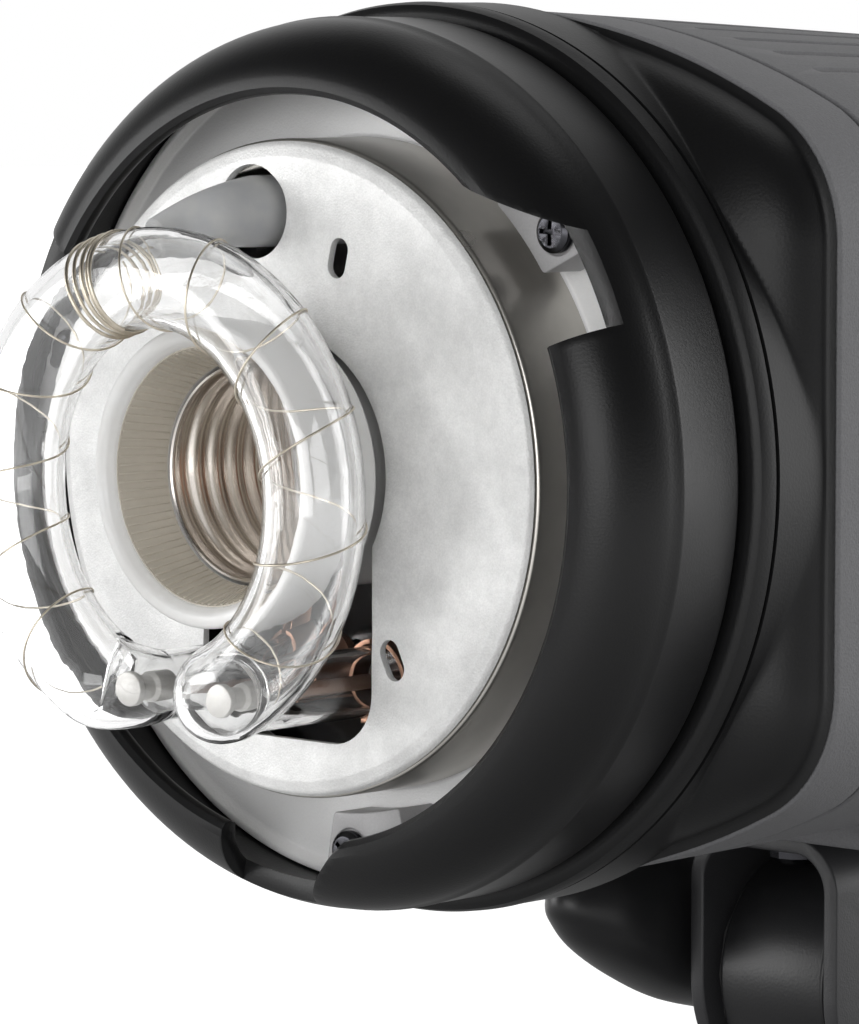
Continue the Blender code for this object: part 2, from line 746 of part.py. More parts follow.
def make_flash_tube():
    path = tube_path()
    outside = swept([p for p, _ in path], TUBE_RADIUS, 3, [TUBE_RADIUS * s for _, s in path])
    tube = add_object("flash_tube", outside, QUARTZ, FLASH_AXIS)
    path = tube_path(CUT)
    bore = swept([p for p, _ in path], TUBE_RADIUS - TUBE_WALL, 1, [TUBE_RADIUS * s - TUBE_WALL for _, s in path])
    cut(tube, bore)
    x, z = leg_place()
    for name, side in (("electrode_1", -1), ("electrode_2", 1)):
        tail = LEG_END_Y + 0.0015
        front = tail - ELECTRODE_LENGTH
        pin = turned([
            (0, tail),
            (ELECTRODE_RADIUS * 0.35, tail),
            (ELECTRODE_RADIUS * 0.35, front + 0.008),
            (ELECTRODE_RADIUS, front + 0.008),
            (ELECTRODE_RADIUS, front + 0.0006),
            (ELECTRODE_RADIUS * 0.8, front),
            (0, front),
        ], 12)
        add_object(name, moved(pin, (side * x, 0, z)), STEEL, FLASH_AXIS)
    inner = LEG_RADIUS + GAP
    for name, side in (("tube_clip_1", -1), ("tube_clip_2", 1)):
        back = CLIP_FRONT_Y + CLIP_LENGTH
        collar = turned([
            (inner, CLIP_FRONT_Y),
            (inner + CLIP_WALL, CLIP_FRONT_Y),
            (inner + CLIP_WALL, back),
            (inner, back),
        ], 16, closed=True)
        clip = add_object(name, moved(collar, (side * x, 0, z)), COPPER, FLASH_AXIS)
        foot_back = RING_BACK_Y
        foot_z = z - inner - CLIP_WALL
        foot = block((0.0052, foot_back - CLIP_FRONT_Y, 0.0008), (side * x, (foot_back + CLIP_FRONT_Y) / 2, foot_z))
        join(clip, foot)


def make_trigger_sleeve():
    root = Vector((SLEEVE_HOLE_X, PLATE_Y, SLEEVE_HOLE_Z))
    tip = Vector(SLEEVE_TIP)
    middle = root.lerp(tip, 0.5) + Vector((0, 0, 0.0006))
    tail = Vector((SLEEVE_HOLE_X, SLEEVE_TAIL_Y, SLEEVE_HOLE_Z))
    points = [tail, root + Vector((0, 0.004, 0)), root, middle, tip]
    radii = [SLEEVE_ROOT_RADIUS, SLEEVE_ROOT_RADIUS, SLEEVE_ROOT_RADIUS * 0.97]
    radii += [(SLEEVE_ROOT_RADIUS + SLEEVE_TIP_RADIUS) / 2, SLEEVE_TIP_RADIUS]
    add_object("trigger_sleeve", swept(points, SLEEVE_ROOT_RADIUS, 3, radii), SILICONE, FLASH_AXIS)


def wire_point(ring_angle, turn_angle, lift=0.0):
    """A point of the wire's winding: turn_angle runs about the tube, from outwards towards the back."""
    reach = TUBE_RADIUS + WIRE_CLEARANCE + WIRE_RADIUS + lift
    return tube_ring_point(ring_angle, reach * math.cos(radians(turn_angle)), reach * math.sin(radians(turn_angle)))


def winding(ring_start, ring_end, turns, turn_start, way):
    points = []
    count = turns * TURN_POINTS
    for i in range(count + 1):
        share = i / count
        points.append(wire_point(ring_start + (ring_end - ring_start) * share, turn_start + way * 360 * turns * share))
    return points


def straight_end(points):
    """Adds a straight end one wire diameter long past the last point."""
    last, before = points[-1], points[-2]
    return points + [last + (last - before).normalized() * WIRE_RADIUS * 4]


def least_gap(points, radius):
    """The least gap between stretches of one tube that are over a quarter turn apart along it."""
    skip = TURN_POINTS // 4
    least = 1.0
    for i, a in enumerate(points):
        for b in points[i + skip:]:
            least = min(least, (a - b).length)
    return least - 2 * radius


def make_trigger_wires():
    lashing_span = math.degrees(LASHING_TURNS * LASHING_PITCH / TUBE_RING_RADIUS)
    turn_start = 50
    tip = Vector(SLEEVE_TIP)
    out_of_sleeve = (tip - Vector((SLEEVE_HOLE_X, PLATE_Y, SLEEVE_HOLE_Z))).normalized()
    lead = [tip + out_of_sleeve * GAP, tip + out_of_sleeve * (GAP + WIRE_RADIUS * 4)]
    lashing = winding(LASHING_ANGLE, LASHING_ANGLE + lashing_span, LASHING_TURNS, turn_start, -1)
    after = winding(LASHING_ANGLE + lashing_span, WIRE_END_ANGLE, WIRE_TURNS_RIGHT, turn_start, -1)
    right = straight_end(lead + lashing + after[1:])
    left = winding(LASHING_ANGLE - 5, -WIRE_END_ANGLE, WIRE_TURNS_LEFT, turn_start, 1)
    left = straight_end(straight_end(left[::-1])[::-1])
    for name, points in (("trigger_wire_right", right), ("trigger_wire_left", left)):
        print(f"{name}: least gap to itself {least_gap(points, WIRE_RADIUS) * 1000:.2f} mm")
        add_object(name, swept(points, WIRE_RADIUS, 1), WIRE_NICKEL, FLASH_AXIS)


def make_lamp_holder():
    tail_back = HOLDER_BACK_Y + HOLDER_TAIL_LENGTH
    holder = turned([
        (0, tail_back),
        (HOLDER_TAIL_RADIUS, tail_back),
        (HOLDER_TAIL_RADIUS, HOLDER_BACK_Y),
        (HOLDER_WAIST_RADIUS, HOLDER_BACK_Y),
        (HOLDER_WAIST_RADIUS, HOLDER_WAIST_Y + 0.003),
        (HOLDER_RIM_RADIUS, HOLDER_WAIST_Y - 0.001),
        (HOLDER_RIM_RADIUS, HOLDER_RIM_Y + 0.0012),
        (HOLDER_RIM_RADIUS - 0.0012, HOLDER_RIM_Y),
        (HOLDER_MOUTH_RADIUS + 0.0006, HOLDER_RIM_Y),
        (HOLDER_MOUTH_RADIUS, HOLDER_RIM_Y + 0.0006),
        (HOLDER_BORE_RADIUS, HOLDER_BORE_Y),
        (HOLDER_BORE_RADIUS, HOLDER_FLOOR_Y),
        (0, HOLDER_FLOOR_Y),
    ], MEDIUM)
    add_object("lamp_holder", holder, CERAMIC, FLASH_AXIS)
    back = HOLDER_FLOOR_Y - GAP
    inner = THREAD_SHELL_RADIUS - THREAD_SHELL_WALL
    shell = [(THREAD_SHELL_RADIUS, THREAD_SHELL_FRONT_Y), (THREAD_SHELL_RADIUS, back)]
    shell += [(CONTACT_RADIUS + 0.003, back), (CONTACT_RADIUS + 0.003, back - THREAD_SHELL_WALL)]
    shell += [(inner, back - THREAD_SHELL_WALL), (inner, THREAD_SHELL_FRONT_Y)]
    add_object("lamp_thread", turned(shell, MEDIUM, closed=True), STEEL, FLASH_AXIS)
    contact = turned([
        (0, back),
        (CONTACT_RADIUS + 0.001, back),
        (CONTACT_RADIUS * 0.5, back - 0.001),
        (CONTACT_RADIUS * 0.5, CONTACT_Y + 0.001),
        (CONTACT_RADIUS, CONTACT_Y + 0.0006),
        (CONTACT_RADIUS * 0.8, CONTACT_Y),
        (0, CONTACT_Y),
    ], SMALL)
    add_object("lamp_contact", contact, COPPER, FLASH_AXIS)


def make_carrier_plate():
    x, z = leg_place()
    outlines = [circle(RING_RADIUS - CARRIER_INSET, segments=ROUND), circle(HOLDER_TAIL_RADIUS + GAP, segments=SMALL)]
    outlines += [circle(ELECTRODE_RADIUS + GAP, (side * x, z), 16) for side in (-1, 1)]
    outlines += [circle(SLEEVE_ROOT_RADIUS, (SLEEVE_HOLE_X, SLEEVE_HOLE_Z), 16)]
    pin_x, pin_z = pin_place()
    outlines += [circle(PIN_RADIUS + SLIDING_FIT, (pin_x, pin_z), 16)]
    plate = moved(flat_piece(outlines, CARRIER_THICKNESS), (0, RING_BACK_Y + GAP + CARRIER_THICKNESS / 2, 0))
    add_object("carrier_plate", plate, STEEL, FLASH_AXIS)


def case_outline(y, inset=0.0):
    """The case's rounded outline at a place along it, drawn in by inset, as points of that section."""
    half_width, half_height, corner = case_size(y)
    outline = rounded_rectangle(half_width - inset, half_height - inset, corner - inset, CORNER_STEPS)
    return [(x, y, z) for x, z in outline]


def reach_of_outline(angle, inset):
    """How far the case's front outline, drawn in by inset, lies from the flash axis at an angle."""
    across, up = abs(math.cos(angle)), abs(math.sin(angle))
    half_width = CASE_FRONT_HALF_WIDTH - inset
    half_height = CASE_FRONT_HALF_HEIGHT - inset
    corner = CASE_FRONT_CORNER - inset
    centre_x, centre_z = half_width - corner, half_height - corner
    if half_width * up <= centre_z * across:
        return half_width / across
    if half_height * across <= centre_x * up:
        return half_height / up
    along = across * centre_x + up * centre_z
    return along + math.sqrt(along ** 2 - centre_x ** 2 - centre_z ** 2 + corner ** 2)


def flare_reach(y, angle):
    """How far the square flare, still growing to the case's outline, lies from the axis at a place."""
    share = min(1.0, max(0.0, (y - FLARE_START_Y) / (SHROUD_BACK_Y - FLARE_START_Y)))
    return reach_of_outline(angle, FLARE_INSET * (1 - share) ** FLARE_SWELL)


def make_front_shroud():
    """The round neck and the flare to the square case, each section the larger of the two."""
    edge = NECK_EDGE
    fall_y = SHROUD_BACK_Y - NECK_FALL_LENGTH
    neck = [
        (SHROUD_FRONT_Y, NECK_RADIUS - edge),
        (SHROUD_FRONT_Y + edge * 0.3, NECK_RADIUS - edge * 0.3),
        (SHROUD_FRONT_Y + edge, NECK_RADIUS),
        (FLARE_START_Y + 0.002, NECK_RADIUS),
        (fall_y, NECK_RADIUS),
        (fall_y + NECK_FALL_LENGTH * 0.4, NECK_RADIUS - NECK_FALL * 0.25),
        (fall_y + NECK_FALL_LENGTH * 0.75, NECK_RADIUS - NECK_FALL * 0.65),
        (SHROUD_BACK_Y, NECK_RADIUS - NECK_FALL),
    ]
    rings = []
    for y, radius in neck:
        ring = []
        for i in range(SHROUD_FACETS):
            angle = math.tau * i / SHROUD_FACETS
            reach = max(radius, flare_reach(y, angle))
            ring.append((reach * math.cos(angle), y, reach * math.sin(angle)))
        rings.append(ring)
    shroud = add_object("front_shroud", lofted(rings), BLACK_PLASTIC, FLASH_AXIS)
    cut(shroud, disc(LIP_RADIUS, SHROUD_FRONT_Y - CUT, SHROUD_BACK_Y + CUT, ROUND))
    cut(shroud, disc(NECK_RADIUS - SHROUD_WALL, SHROUD_FRONT_Y + SHROUD_FLOOR, SHROUD_BACK_Y + CUT, ROUND))
    x, z = pin_place()
    cut(shroud, moved(disc(PIN_RADIUS + SLIDING_FIT, SHROUD_FRONT_Y - CUT, SHROUD_BACK_Y, 16), (x, 0, z)))
    slot_start = SLIDE_FRONT_Y - GAP
    slot_length = SLIDE_LENGTH + SLIDE_TRAVEL + 2 * GAP
    slot_depth = 0.012
    slot = block(
        (slot_depth, slot_length, 2 * (SLIDE_STEM_HALF + SLIDING_FIT)),
        (-NECK_RADIUS, slot_start + slot_length / 2, 0),
    )
    cut(shroud, slot)


def make_release():
    """The slide outside the shroud, its stem through the slot, and the pin that it draws back."""
    pin_x, _ = pin_place()
    middle_y = SLIDE_FRONT_Y + SLIDE_LENGTH / 2
    cap_inner = max(NECK_RADIUS, flare_reach(SHROUD_BACK_Y, math.pi)) + 2 * GAP
    stem_end = abs(pin_x) - PIN_RADIUS * 2.4
    slide = block(
        (SLIDE_CAP_HEIGHT, SLIDE_LENGTH + 0.002, 2 * SLIDE_CAP_HALF),
        (-(cap_inner + SLIDE_CAP_HEIGHT / 2), middle_y, 0),
        0.0006,
    )
    slide = add_object("release_slide", slide, BLACK_PLASTIC, FLASH_AXIS)
    stem_length = cap_inner + SLIDE_CAP_HEIGHT / 2 - stem_end
    stem = block((stem_length, SLIDE_LENGTH, 2 * SLIDE_STEM_HALF), (-(stem_end + stem_length / 2), middle_y, 0))
    join(slide, stem)
    cut(slide, moved(disc(PIN_RADIUS + GAP, SLIDE_FRONT_Y - CUT, SLIDE_FRONT_Y + SLIDE_LENGTH + CUT, 16), (pin_x, 0, 0)))
    pin_back = SLIDE_FRONT_Y + SLIDE_LENGTH + 0.0012
    collar = SLIDE_FRONT_Y + SLIDE_LENGTH + GAP
    pin = turned([
        (0, pin_back),
        (PIN_RADIUS * 1.6, pin_back),
        (PIN_RADIUS * 1.6, collar),
        (PIN_RADIUS, collar),
        (PIN_RADIUS, PIN_FRONT_Y + 0.0008),
        (PIN_RADIUS * 0.6, PIN_FRONT_Y),
        (0, PIN_FRONT_Y),
    ], 16)
    add_object("lock_pin", moved(pin, (pin_x, 0, 0)), STEEL, FLASH_AXIS)


def shell_rings(start, end, wall, extra=0.0):
    """Rings of a case shell between two places: along its outside, then back along its inside."""
    outside = [case_outline(start, extra), case_outline(end, extra)]
    inside = [case_outline(end, extra + wall), case_outline(start, extra + wall)]
    return outside + inside


def make_front_bezel():
    start = SHROUD_BACK_Y + GAP
    bezel = lofted(shell_rings(start, BEZEL_BACK_Y, CASE_WALL + TONGUE_WALL), loop=True)
    bezel = add_object("front_bezel", bezel, GREY_CASE, FLASH_AXIS)
    tongue_end = BEZEL_BACK_Y + COVER_GROOVE + TONGUE_LENGTH
    tongue = lofted(shell_rings(start + 0.004, tongue_end, TONGUE_WALL - GAP, CASE_WALL + GAP), loop=True)
    join(bezel, tongue)


def cover(name, upper):
    """Half of the case's sleeve, above or below the split."""
    start = BEZEL_BACK_Y + COVER_GROOVE
    sleeve = lofted(shell_rings(start, COVER_BACK_Y, CASE_WALL), loop=True)
    half = add_object(name, sleeve, GREY_CASE, FLASH_AXIS)
    tall = 2 * CASE_FRONT_HALF_HEIGHT
    wide = 3 * CASE_FRONT_HALF_WIDTH
    long = COVER_BACK_Y - start + 4 * CUT
    side = -1 if upper else 1
    edge = CASE_SPLIT_Z + (GAP / 2 if upper else -GAP / 2)
    cut(half, block((wide, long, tall), (0, (start + COVER_BACK_Y) / 2, edge + side * tall / 2)))
    return half


def make_upper_cover():
    shell = cover("upper_cover", True)
    for i in range(VENT_COUNT):
        x = (i - (VENT_COUNT - 1) / 2) * VENT_PITCH
        size = (VENT_WIDTH, VENT_LENGTH, CASE_FRONT_HALF_HEIGHT)
        slot = block(size, (x, VENT_START_Y + VENT_LENGTH / 2, CASE_FRONT_HALF_HEIGHT * 1.2))
        cut(shell, slot)


def post_places():
    x = BOARD_HALF_WIDTH - 2 * POST_RADIUS
    return [(side * x, y) for side in (-1, 1) for y in (BOARD_FRONT_Y + 0.008, BOARD_FRONT_Y + BOARD_LENGTH - 0.008)]


def bracket_screw_places():
    return [LIP_AHEAD_OF_TILT + side * BRACKET_SCREW_SPACING / 2 for side in (-1, 1)]


def make_lower_cover():
    shell = cover("lower_cover", False)
    pad_top = CASE_WALL * 1.2 - case_size(LIP_AHEAD_OF_TILT)[1]
    pad_height = pad_top - PAD_BOTTOM_Z
    pad = block(
        (2 * PAD_HALF_WIDTH, PAD_LENGTH, pad_height),
        (0, LIP_AHEAD_OF_TILT, PAD_BOTTOM_Z + pad_height / 2),
        0.0012,
        1,
    )
    join(shell, pad)
    post_top = BOARD_Z - BOARD_THICKNESS / 2 - GAP
    for x, y in post_places():
        height = post_top + case_size(y)[1] - CASE_WALL / 2
        post = disc(POST_RADIUS, 0, height, 12, Matrix.Identity(4))
        join(shell, moved(post, (x, y, post_top - height)))
    for y in bracket_screw_places():
        hole = disc(BRACKET_SCREW_RADIUS + SCREW_FIT, 0, BRACKET_SCREW_GRIP + 2 * CUT, 12, Matrix.Identity(4))
        cut(shell, moved(hole, (0, y, PAD_BOTTOM_Z - CUT)))


def panel_hole(panel, outline, start, end):
    """Cuts an outline of the XZ plane through the panel between two places along Y."""
    cut(panel, moved(flat_piece([outline], end - start), (0, (start + end) / 2, 0)))


def rectangle(half_width, half_height, centre):
    return rounded_rectangle(half_width, half_height, 0.0010, 2, centre)


def button_places():
    places = []
    for side in (1, -1):
        for row in (0, 1):
            places.append((side * BUTTON_X, BUTTON_UPPER_Z - row * BUTTON_PITCH))
    return places


def panel_fits():
    """Outline and first place of every hole through the rear panel's face."""
    fit = SLIDING_FIT
    fits = [circle(DIAL_SHAFT_RADIUS + fit, (0, DIAL_Z), 16)]
    fits += [rectangle(BUTTON_HALF_WIDTH + fit, BUTTON_HALF_HEIGHT + fit, place) for place in button_places()]
    fits += [circle(TEST_BUTTON_RADIUS + fit, (TEST_BUTTON_X, TEST_BUTTON_Z), 16)]
    fits += [rectangle(INLET_HALF_WIDTH + fit, INLET_HALF_HEIGHT + fit, (INLET_X, SERVICE_Z))]
    fits += [rectangle(SWITCH_HALF_WIDTH + fit, SWITCH_HALF_HEIGHT + fit, (SWITCH_X, SERVICE_Z))]
    fits += [circle(FUSE_RADIUS + fit, (FUSE_X, SERVICE_Z), 20)]
    fits += [circle(JACK_RADIUS + fit, (JACK_X, SERVICE_Z), 16)]
    fits += [circle(SENSOR_RADIUS + fit, (SENSOR_X, SENSOR_Z), 20)]
    return fits


def make_rear_panel():
    start = COVER_BACK_Y + GAP
    edge = 0.0016
    outside = [case_outline(start), case_outline(CASE_BACK_Y - edge), case_outline(CASE_BACK_Y - edge * 0.3, edge * 0.3)]
    outside += [case_outline(CASE_BACK_Y, edge)]
    panel = add_object("rear_panel", lofted(outside), BLACK_PLASTIC, FLASH_AXIS)
    pocket_end = CASE_BACK_Y - PANEL_FACE
    rim = CASE_WALL + TONGUE_WALL
    cut(panel, lofted([case_outline(start - CUT, rim), case_outline(pocket_end, rim)]))
    tongue_start = start - TONGUE_LENGTH
    tongue = lofted(shell_rings(tongue_start, start + 0.004, TONGUE_WALL, CASE_WALL + GAP), loop=True)
    join(panel, tongue)
    for x, z in control_posts():
        height = pocket_end - (CONTROL_BOARD_Y + BOARD_THICKNESS / 2 + GAP) + CUT
        post = disc(POST_RADIUS * 0.8, 0, height, 12)
        join(panel, moved(post, (x, pocket_end + CUT - height, z)))
    for outline in panel_fits():
        panel_hole(panel, outline, pocket_end - CUT, CASE_BACK_Y + CUT)
    window = rectangle(WINDOW_HALF_WIDTH + GAP, WINDOW_HALF_HEIGHT + GAP, (0, WINDOW_Z))
    panel_hole(panel, window, CASE_BACK_Y - WINDOW_THICKNESS, CASE_BACK_Y + CUT)


def control_posts():
    low = (CONTROL_BOARD_HALF_WIDTH - POST_RADIUS, CONTROL_BOARD_Z - CONTROL_BOARD_HALF_HEIGHT + POST_RADIUS)
    high = (WINDOW_HALF_WIDTH + 2 * POST_RADIUS, CONTROL_BOARD_Z + CONTROL_BOARD_HALF_HEIGHT - POST_RADIUS)
    return [(side * x, z) for side in (-1, 1) for x, z in (low, high)]


def make_rear_handle():
    bend = 0.010
    start = CASE_BACK_Y + GAP
    reach = start + HANDLE_REACH - HANDLE_BAR_RADIUS
    half = [Vector((HANDLE_HALF_WIDTH, start, HANDLE_HEIGHT))]
    for i in range(6):
        angle = radians(90 * i / 5)
        half.append(Vector((
            HANDLE_HALF_WIDTH - bend * (1 - math.cos(angle)),
            reach - bend * (1 - math.sin(angle)),
            HANDLE_HEIGHT,
        )))
    points = half + [Vector((-p.x, p.y, p.z)) for p in reversed(half)]
    add_object("rear_handle", swept(points, HANDLE_BAR_RADIUS, 3), BLACK_PLASTIC, FLASH_AXIS)


def make_window():
    outline = rectangle(WINDOW_HALF_WIDTH, WINDOW_HALF_HEIGHT, (0, WINDOW_Z))
    window = flat_piece([outline], WINDOW_THICKNESS)
    moved(window, (0, CASE_BACK_Y - WINDOW_THICKNESS / 2 + GAP, 0))
    add_object("display_window", window, SMOKED_WINDOW, FLASH_AXIS)


def make_dial():
    """A fluted knob on its shaft, about its own axis."""
    seat = GAP * 2
    outline = []
    for i in range(DIAL_FLUTES * 4):
        wave = 0.0006 * math.cos(math.tau * i / 4)
        outline.append(polar(DIAL_RADIUS - 0.0006 + wave, 360 * i / (DIAL_FLUTES * 4)))
    rings = []
    for y, scale in ((seat, 1.0), (seat + DIAL_LENGTH * 0.9, 0.95), (seat + DIAL_LENGTH, 0.86)):
        rings.append([(x * scale, y, z * scale) for x, z in outline])
    dial = add_object("power_dial", lofted(rings), BLACK_PLASTIC, FLASH_AXIS, (0, CASE_BACK_Y, DIAL_Z))
    join(dial, disc(DIAL_SHAFT_RADIUS, -PANEL_FACE - 0.003, seat + 0.002, 16))


def make_buttons():
    """Key caps with a hidden flange behind the panel that stops them from falling out."""
    behind = -PANEL_FACE - GAP - BUTTON_TRAVEL
    flange = 0.0009
    for i, (x, z) in enumerate(button_places()):
        outline = rectangle(BUTTON_HALF_WIDTH, BUTTON_HALF_HEIGHT, (0, 0))
        rings = []
        for y, inset in ((behind, 0.0), (BUTTON_PROUD - 0.0005, 0.0), (BUTTON_PROUD, 0.0005)):
            rings.append([(px * (1 - inset / BUTTON_HALF_WIDTH), y, pz * (1 - inset / BUTTON_HALF_HEIGHT)) for px, pz in outline])
        button = add_object(f"mode_button_{i + 1}", lofted(rings), GREY_PLASTIC, FLASH_AXIS, (x, CASE_BACK_Y, z))
        size = (2 * BUTTON_HALF_WIDTH + 0.002, flange, 2 * BUTTON_HALF_HEIGHT + 0.002)
        join(button, block(size, (0, -PANEL_FACE - GAP - flange / 2, 0)))
    profile = [
        (0, BUTTON_PROUD),
        (TEST_BUTTON_RADIUS - 0.0006, BUTTON_PROUD),
        (TEST_BUTTON_RADIUS, BUTTON_PROUD - 0.0006),
        (TEST_BUTTON_RADIUS, -PANEL_FACE - GAP),
        (TEST_BUTTON_RADIUS + 0.001, -PANEL_FACE - GAP),
        (TEST_BUTTON_RADIUS + 0.001, behind),
        (0, behind),
    ]
    place = (TEST_BUTTON_X, CASE_BACK_Y, TEST_BUTTON_Z)
    add_object("test_button", turned(profile, SMALL), GREY_PLASTIC, FLASH_AXIS, place)


def make_inlet():
    """Three-pin mains inlet: a flanged body with its cavity and pins."""
    face = CASE_BACK_Y + INLET_FLANGE
    size = (2 * INLET_HALF_WIDTH, INLET_DEPTH, 2 * INLET_HALF_HEIGHT)
    body = block(size, (INLET_X, face - INLET_DEPTH / 2, SERVICE_Z))
    inlet = add_object("inlet_socket", body, BLACK_PLASTIC, FLASH_AXIS)
    lip = 0.0016
    flange = rectangle(INLET_HALF_WIDTH + lip, INLET_HALF_HEIGHT + lip, (INLET_X, SERVICE_Z))
    flange_height = INLET_FLANGE - GAP
    join(inlet, moved(flat_piece([flange], flange_height), (0, face - flange_height / 2, 0)))
    wall = 0.0016
    cavity = rounded_rectangle(INLET_HALF_WIDTH - wall, INLET_HALF_HEIGHT - wall, 0.003, 3, (INLET_X, SERVICE_Z))
    depth = INLET_DEPTH - 0.003
    panel_hole(inlet, cavity, face - depth, face + CUT)
    for x, z in ((-0.007, -0.002), (0.0, 0.002), (0.007, -0.002)):
        join(inlet, block((0.0020, depth, 0.0040), (INLET_X + x, face - depth / 2 - 0.003, SERVICE_Z + z)))


def make_switch():
    """Rocker switch: a flanged frame and the rocker that tips in it."""
    proud = 0.0015
    face = CASE_BACK_Y + proud
    size = (2 * SWITCH_HALF_WIDTH, SWITCH_DEPTH, 2 * SWITCH_HALF_HEIGHT)
    frame = block(size, (SWITCH_X, face - SWITCH_DEPTH / 2, SERVICE_Z))
    frame = add_object("switch_frame", frame, BLACK_PLASTIC, FLASH_AXIS)
    lip = 0.0012
    flange = rectangle(SWITCH_HALF_WIDTH + lip, SWITCH_HALF_HEIGHT + lip, (SWITCH_X, SERVICE_Z))
    flange_height = proud - GAP
    join(frame, moved(flat_piece([flange], flange_height), (0, face - flange_height / 2, 0)))
    wall = 0.0014
    half_width = SWITCH_HALF_WIDTH - wall
    half_height = SWITCH_HALF_HEIGHT - wall
    depth = SWITCH_DEPTH - 0.003
    panel_hole(frame, rounded_rectangle(half_width, half_height, 0.0003, 1, (SWITCH_X, SERVICE_Z)), face - depth, face + CUT)
    reach = half_height - 0.0010
    outline = [(0.0008, 0.0), (0.0030, reach), (-0.0040, reach * 0.96), (-0.0066, 0.0), (-0.0040, -reach * 0.96), (0.0030, -reach)]
    rocker = flat_piece([tilted(outline, -ROCKER_TILT, (0, 0))], 2 * (half_width - SLIDING_FIT), FACING_SIDE)
    place = (SWITCH_X, face - 0.0008, SERVICE_Z)
    add_object("power_rocker", rocker, BLACK_PLASTIC, FLASH_AXIS, place)


def make_fuse_holder():
    face = CASE_BACK_Y + 0.002
    bore = FUSE_CAP_RADIUS + SLIDING_FIT
    bore_depth = 0.014
    holder = turned([
        (0, face - FUSE_LENGTH),
        (FUSE_RADIUS, face - FUSE_LENGTH),
        (FUSE_RADIUS, CASE_BACK_Y + GAP),
        (FUSE_RADIUS + 0.0014, CASE_BACK_Y + GAP),
        (FUSE_RADIUS + 0.0014, face),
        (bore, face),
        (bore, face - bore_depth),
        (0, face - bore_depth),
    ], SMALL)
    add_object("fuse_holder", moved(holder, (FUSE_X, 0, SERVICE_Z)), BLACK_PLASTIC, FLASH_AXIS)
    cap = turned([
        (0, 0.0016),
        (FUSE_CAP_RADIUS - 0.0005, 0.0016),
        (FUSE_CAP_RADIUS, 0.0011),
        (FUSE_CAP_RADIUS, -0.0105),
        (0, -0.0105),
    ], 20)
    cap = add_object("fuse_cap", cap, BLACK_PLASTIC, FLASH_AXIS, (FUSE_X, face, SERVICE_Z))
    cut(cap, block((FUSE_CAP_RADIUS * 1.3, 0.0024, 0.0012), (0, 0.0016, 0)))


def make_jack_and_sensor():
    face = CASE_BACK_Y + 0.0018
    jack = turned([
        (JACK_BORE_RADIUS, face),
        (JACK_RADIUS + 0.001, face),
        (JACK_RADIUS + 0.001, CASE_BACK_Y + GAP),
        (JACK_RADIUS, CASE_BACK_Y + GAP),
        (JACK_RADIUS, face - JACK_LENGTH),
        (JACK_BORE_RADIUS, face - JACK_LENGTH),
    ], 16, closed=True)
    add_object("sync_jack", moved(jack, (JACK_X, 0, SERVICE_Z)), STEEL, FLASH_AXIS)
    profile = [(0, CASE_BACK_Y - PANEL_FACE), (SENSOR_RADIUS, CASE_BACK_Y - PANEL_FACE)]
    for i in range(6):
        angle = radians(90 * i / 5)
        profile.append((SENSOR_RADIUS * math.cos(angle), CASE_BACK_Y + 0.001 + SENSOR_RADIUS * 0.7 * math.sin(angle)))
    dome = moved(turned(profile, SMALL), (SENSOR_X, 0, SENSOR_Z))
    add_object("slave_sensor", dome, SMOKED_WINDOW, FLASH_AXIS)


def make_electronics():
    centre_y = BOARD_FRONT_Y + BOARD_LENGTH / 2
    board = block((2 * BOARD_HALF_WIDTH, BOARD_LENGTH, BOARD_THICKNESS), (0, centre_y, BOARD_Z))
    add_object("power_board", board, BOARD_GREEN, FLASH_AXIS)
    on_board = BOARD_Z + BOARD_THICKNESS / 2 + GAP
    for i, side in enumerate((-1, 1)):
        end = CAPACITOR_Y + CAPACITOR_LENGTH
        can = turned([
            (0, end),
            (CAPACITOR_RADIUS - 0.001, end),
            (CAPACITOR_RADIUS, end - 0.001),
            (CAPACITOR_RADIUS, CAPACITOR_Y + 0.006),
            (CAPACITOR_RADIUS - 0.001, CAPACITOR_Y + 0.0048),
            (CAPACITOR_RADIUS, CAPACITOR_Y + 0.0036),
            (CAPACITOR_RADIUS, CAPACITOR_Y + 0.0008),
            (CAPACITOR_RADIUS - 0.0012, CAPACITOR_Y),
            (0, CAPACITOR_Y),
        ], SMALL)
        moved(can, (side * CAPACITOR_X, 0, on_board + CAPACITOR_RADIUS))
        add_object(f"capacitor_{i + 1}", can, CAN_BLACK, FLASH_AXIS)
    coil = turned([(0, COIL_LENGTH), (COIL_RADIUS, COIL_LENGTH), (COIL_RADIUS, 0), (0, 0)], SMALL)
    moved(coil, (0, COIL_Y, on_board + COIL_RADIUS))
    add_object("trigger_coil", coil, COPPER, FLASH_AXIS)
    size = (2 * CONTROL_BOARD_HALF_WIDTH, BOARD_THICKNESS, 2 * CONTROL_BOARD_HALF_HEIGHT)
    add_object("control_board", block(size, (0, CONTROL_BOARD_Y, CONTROL_BOARD_Z)), BOARD_GREEN, FLASH_AXIS)
    make_fan(on_board)


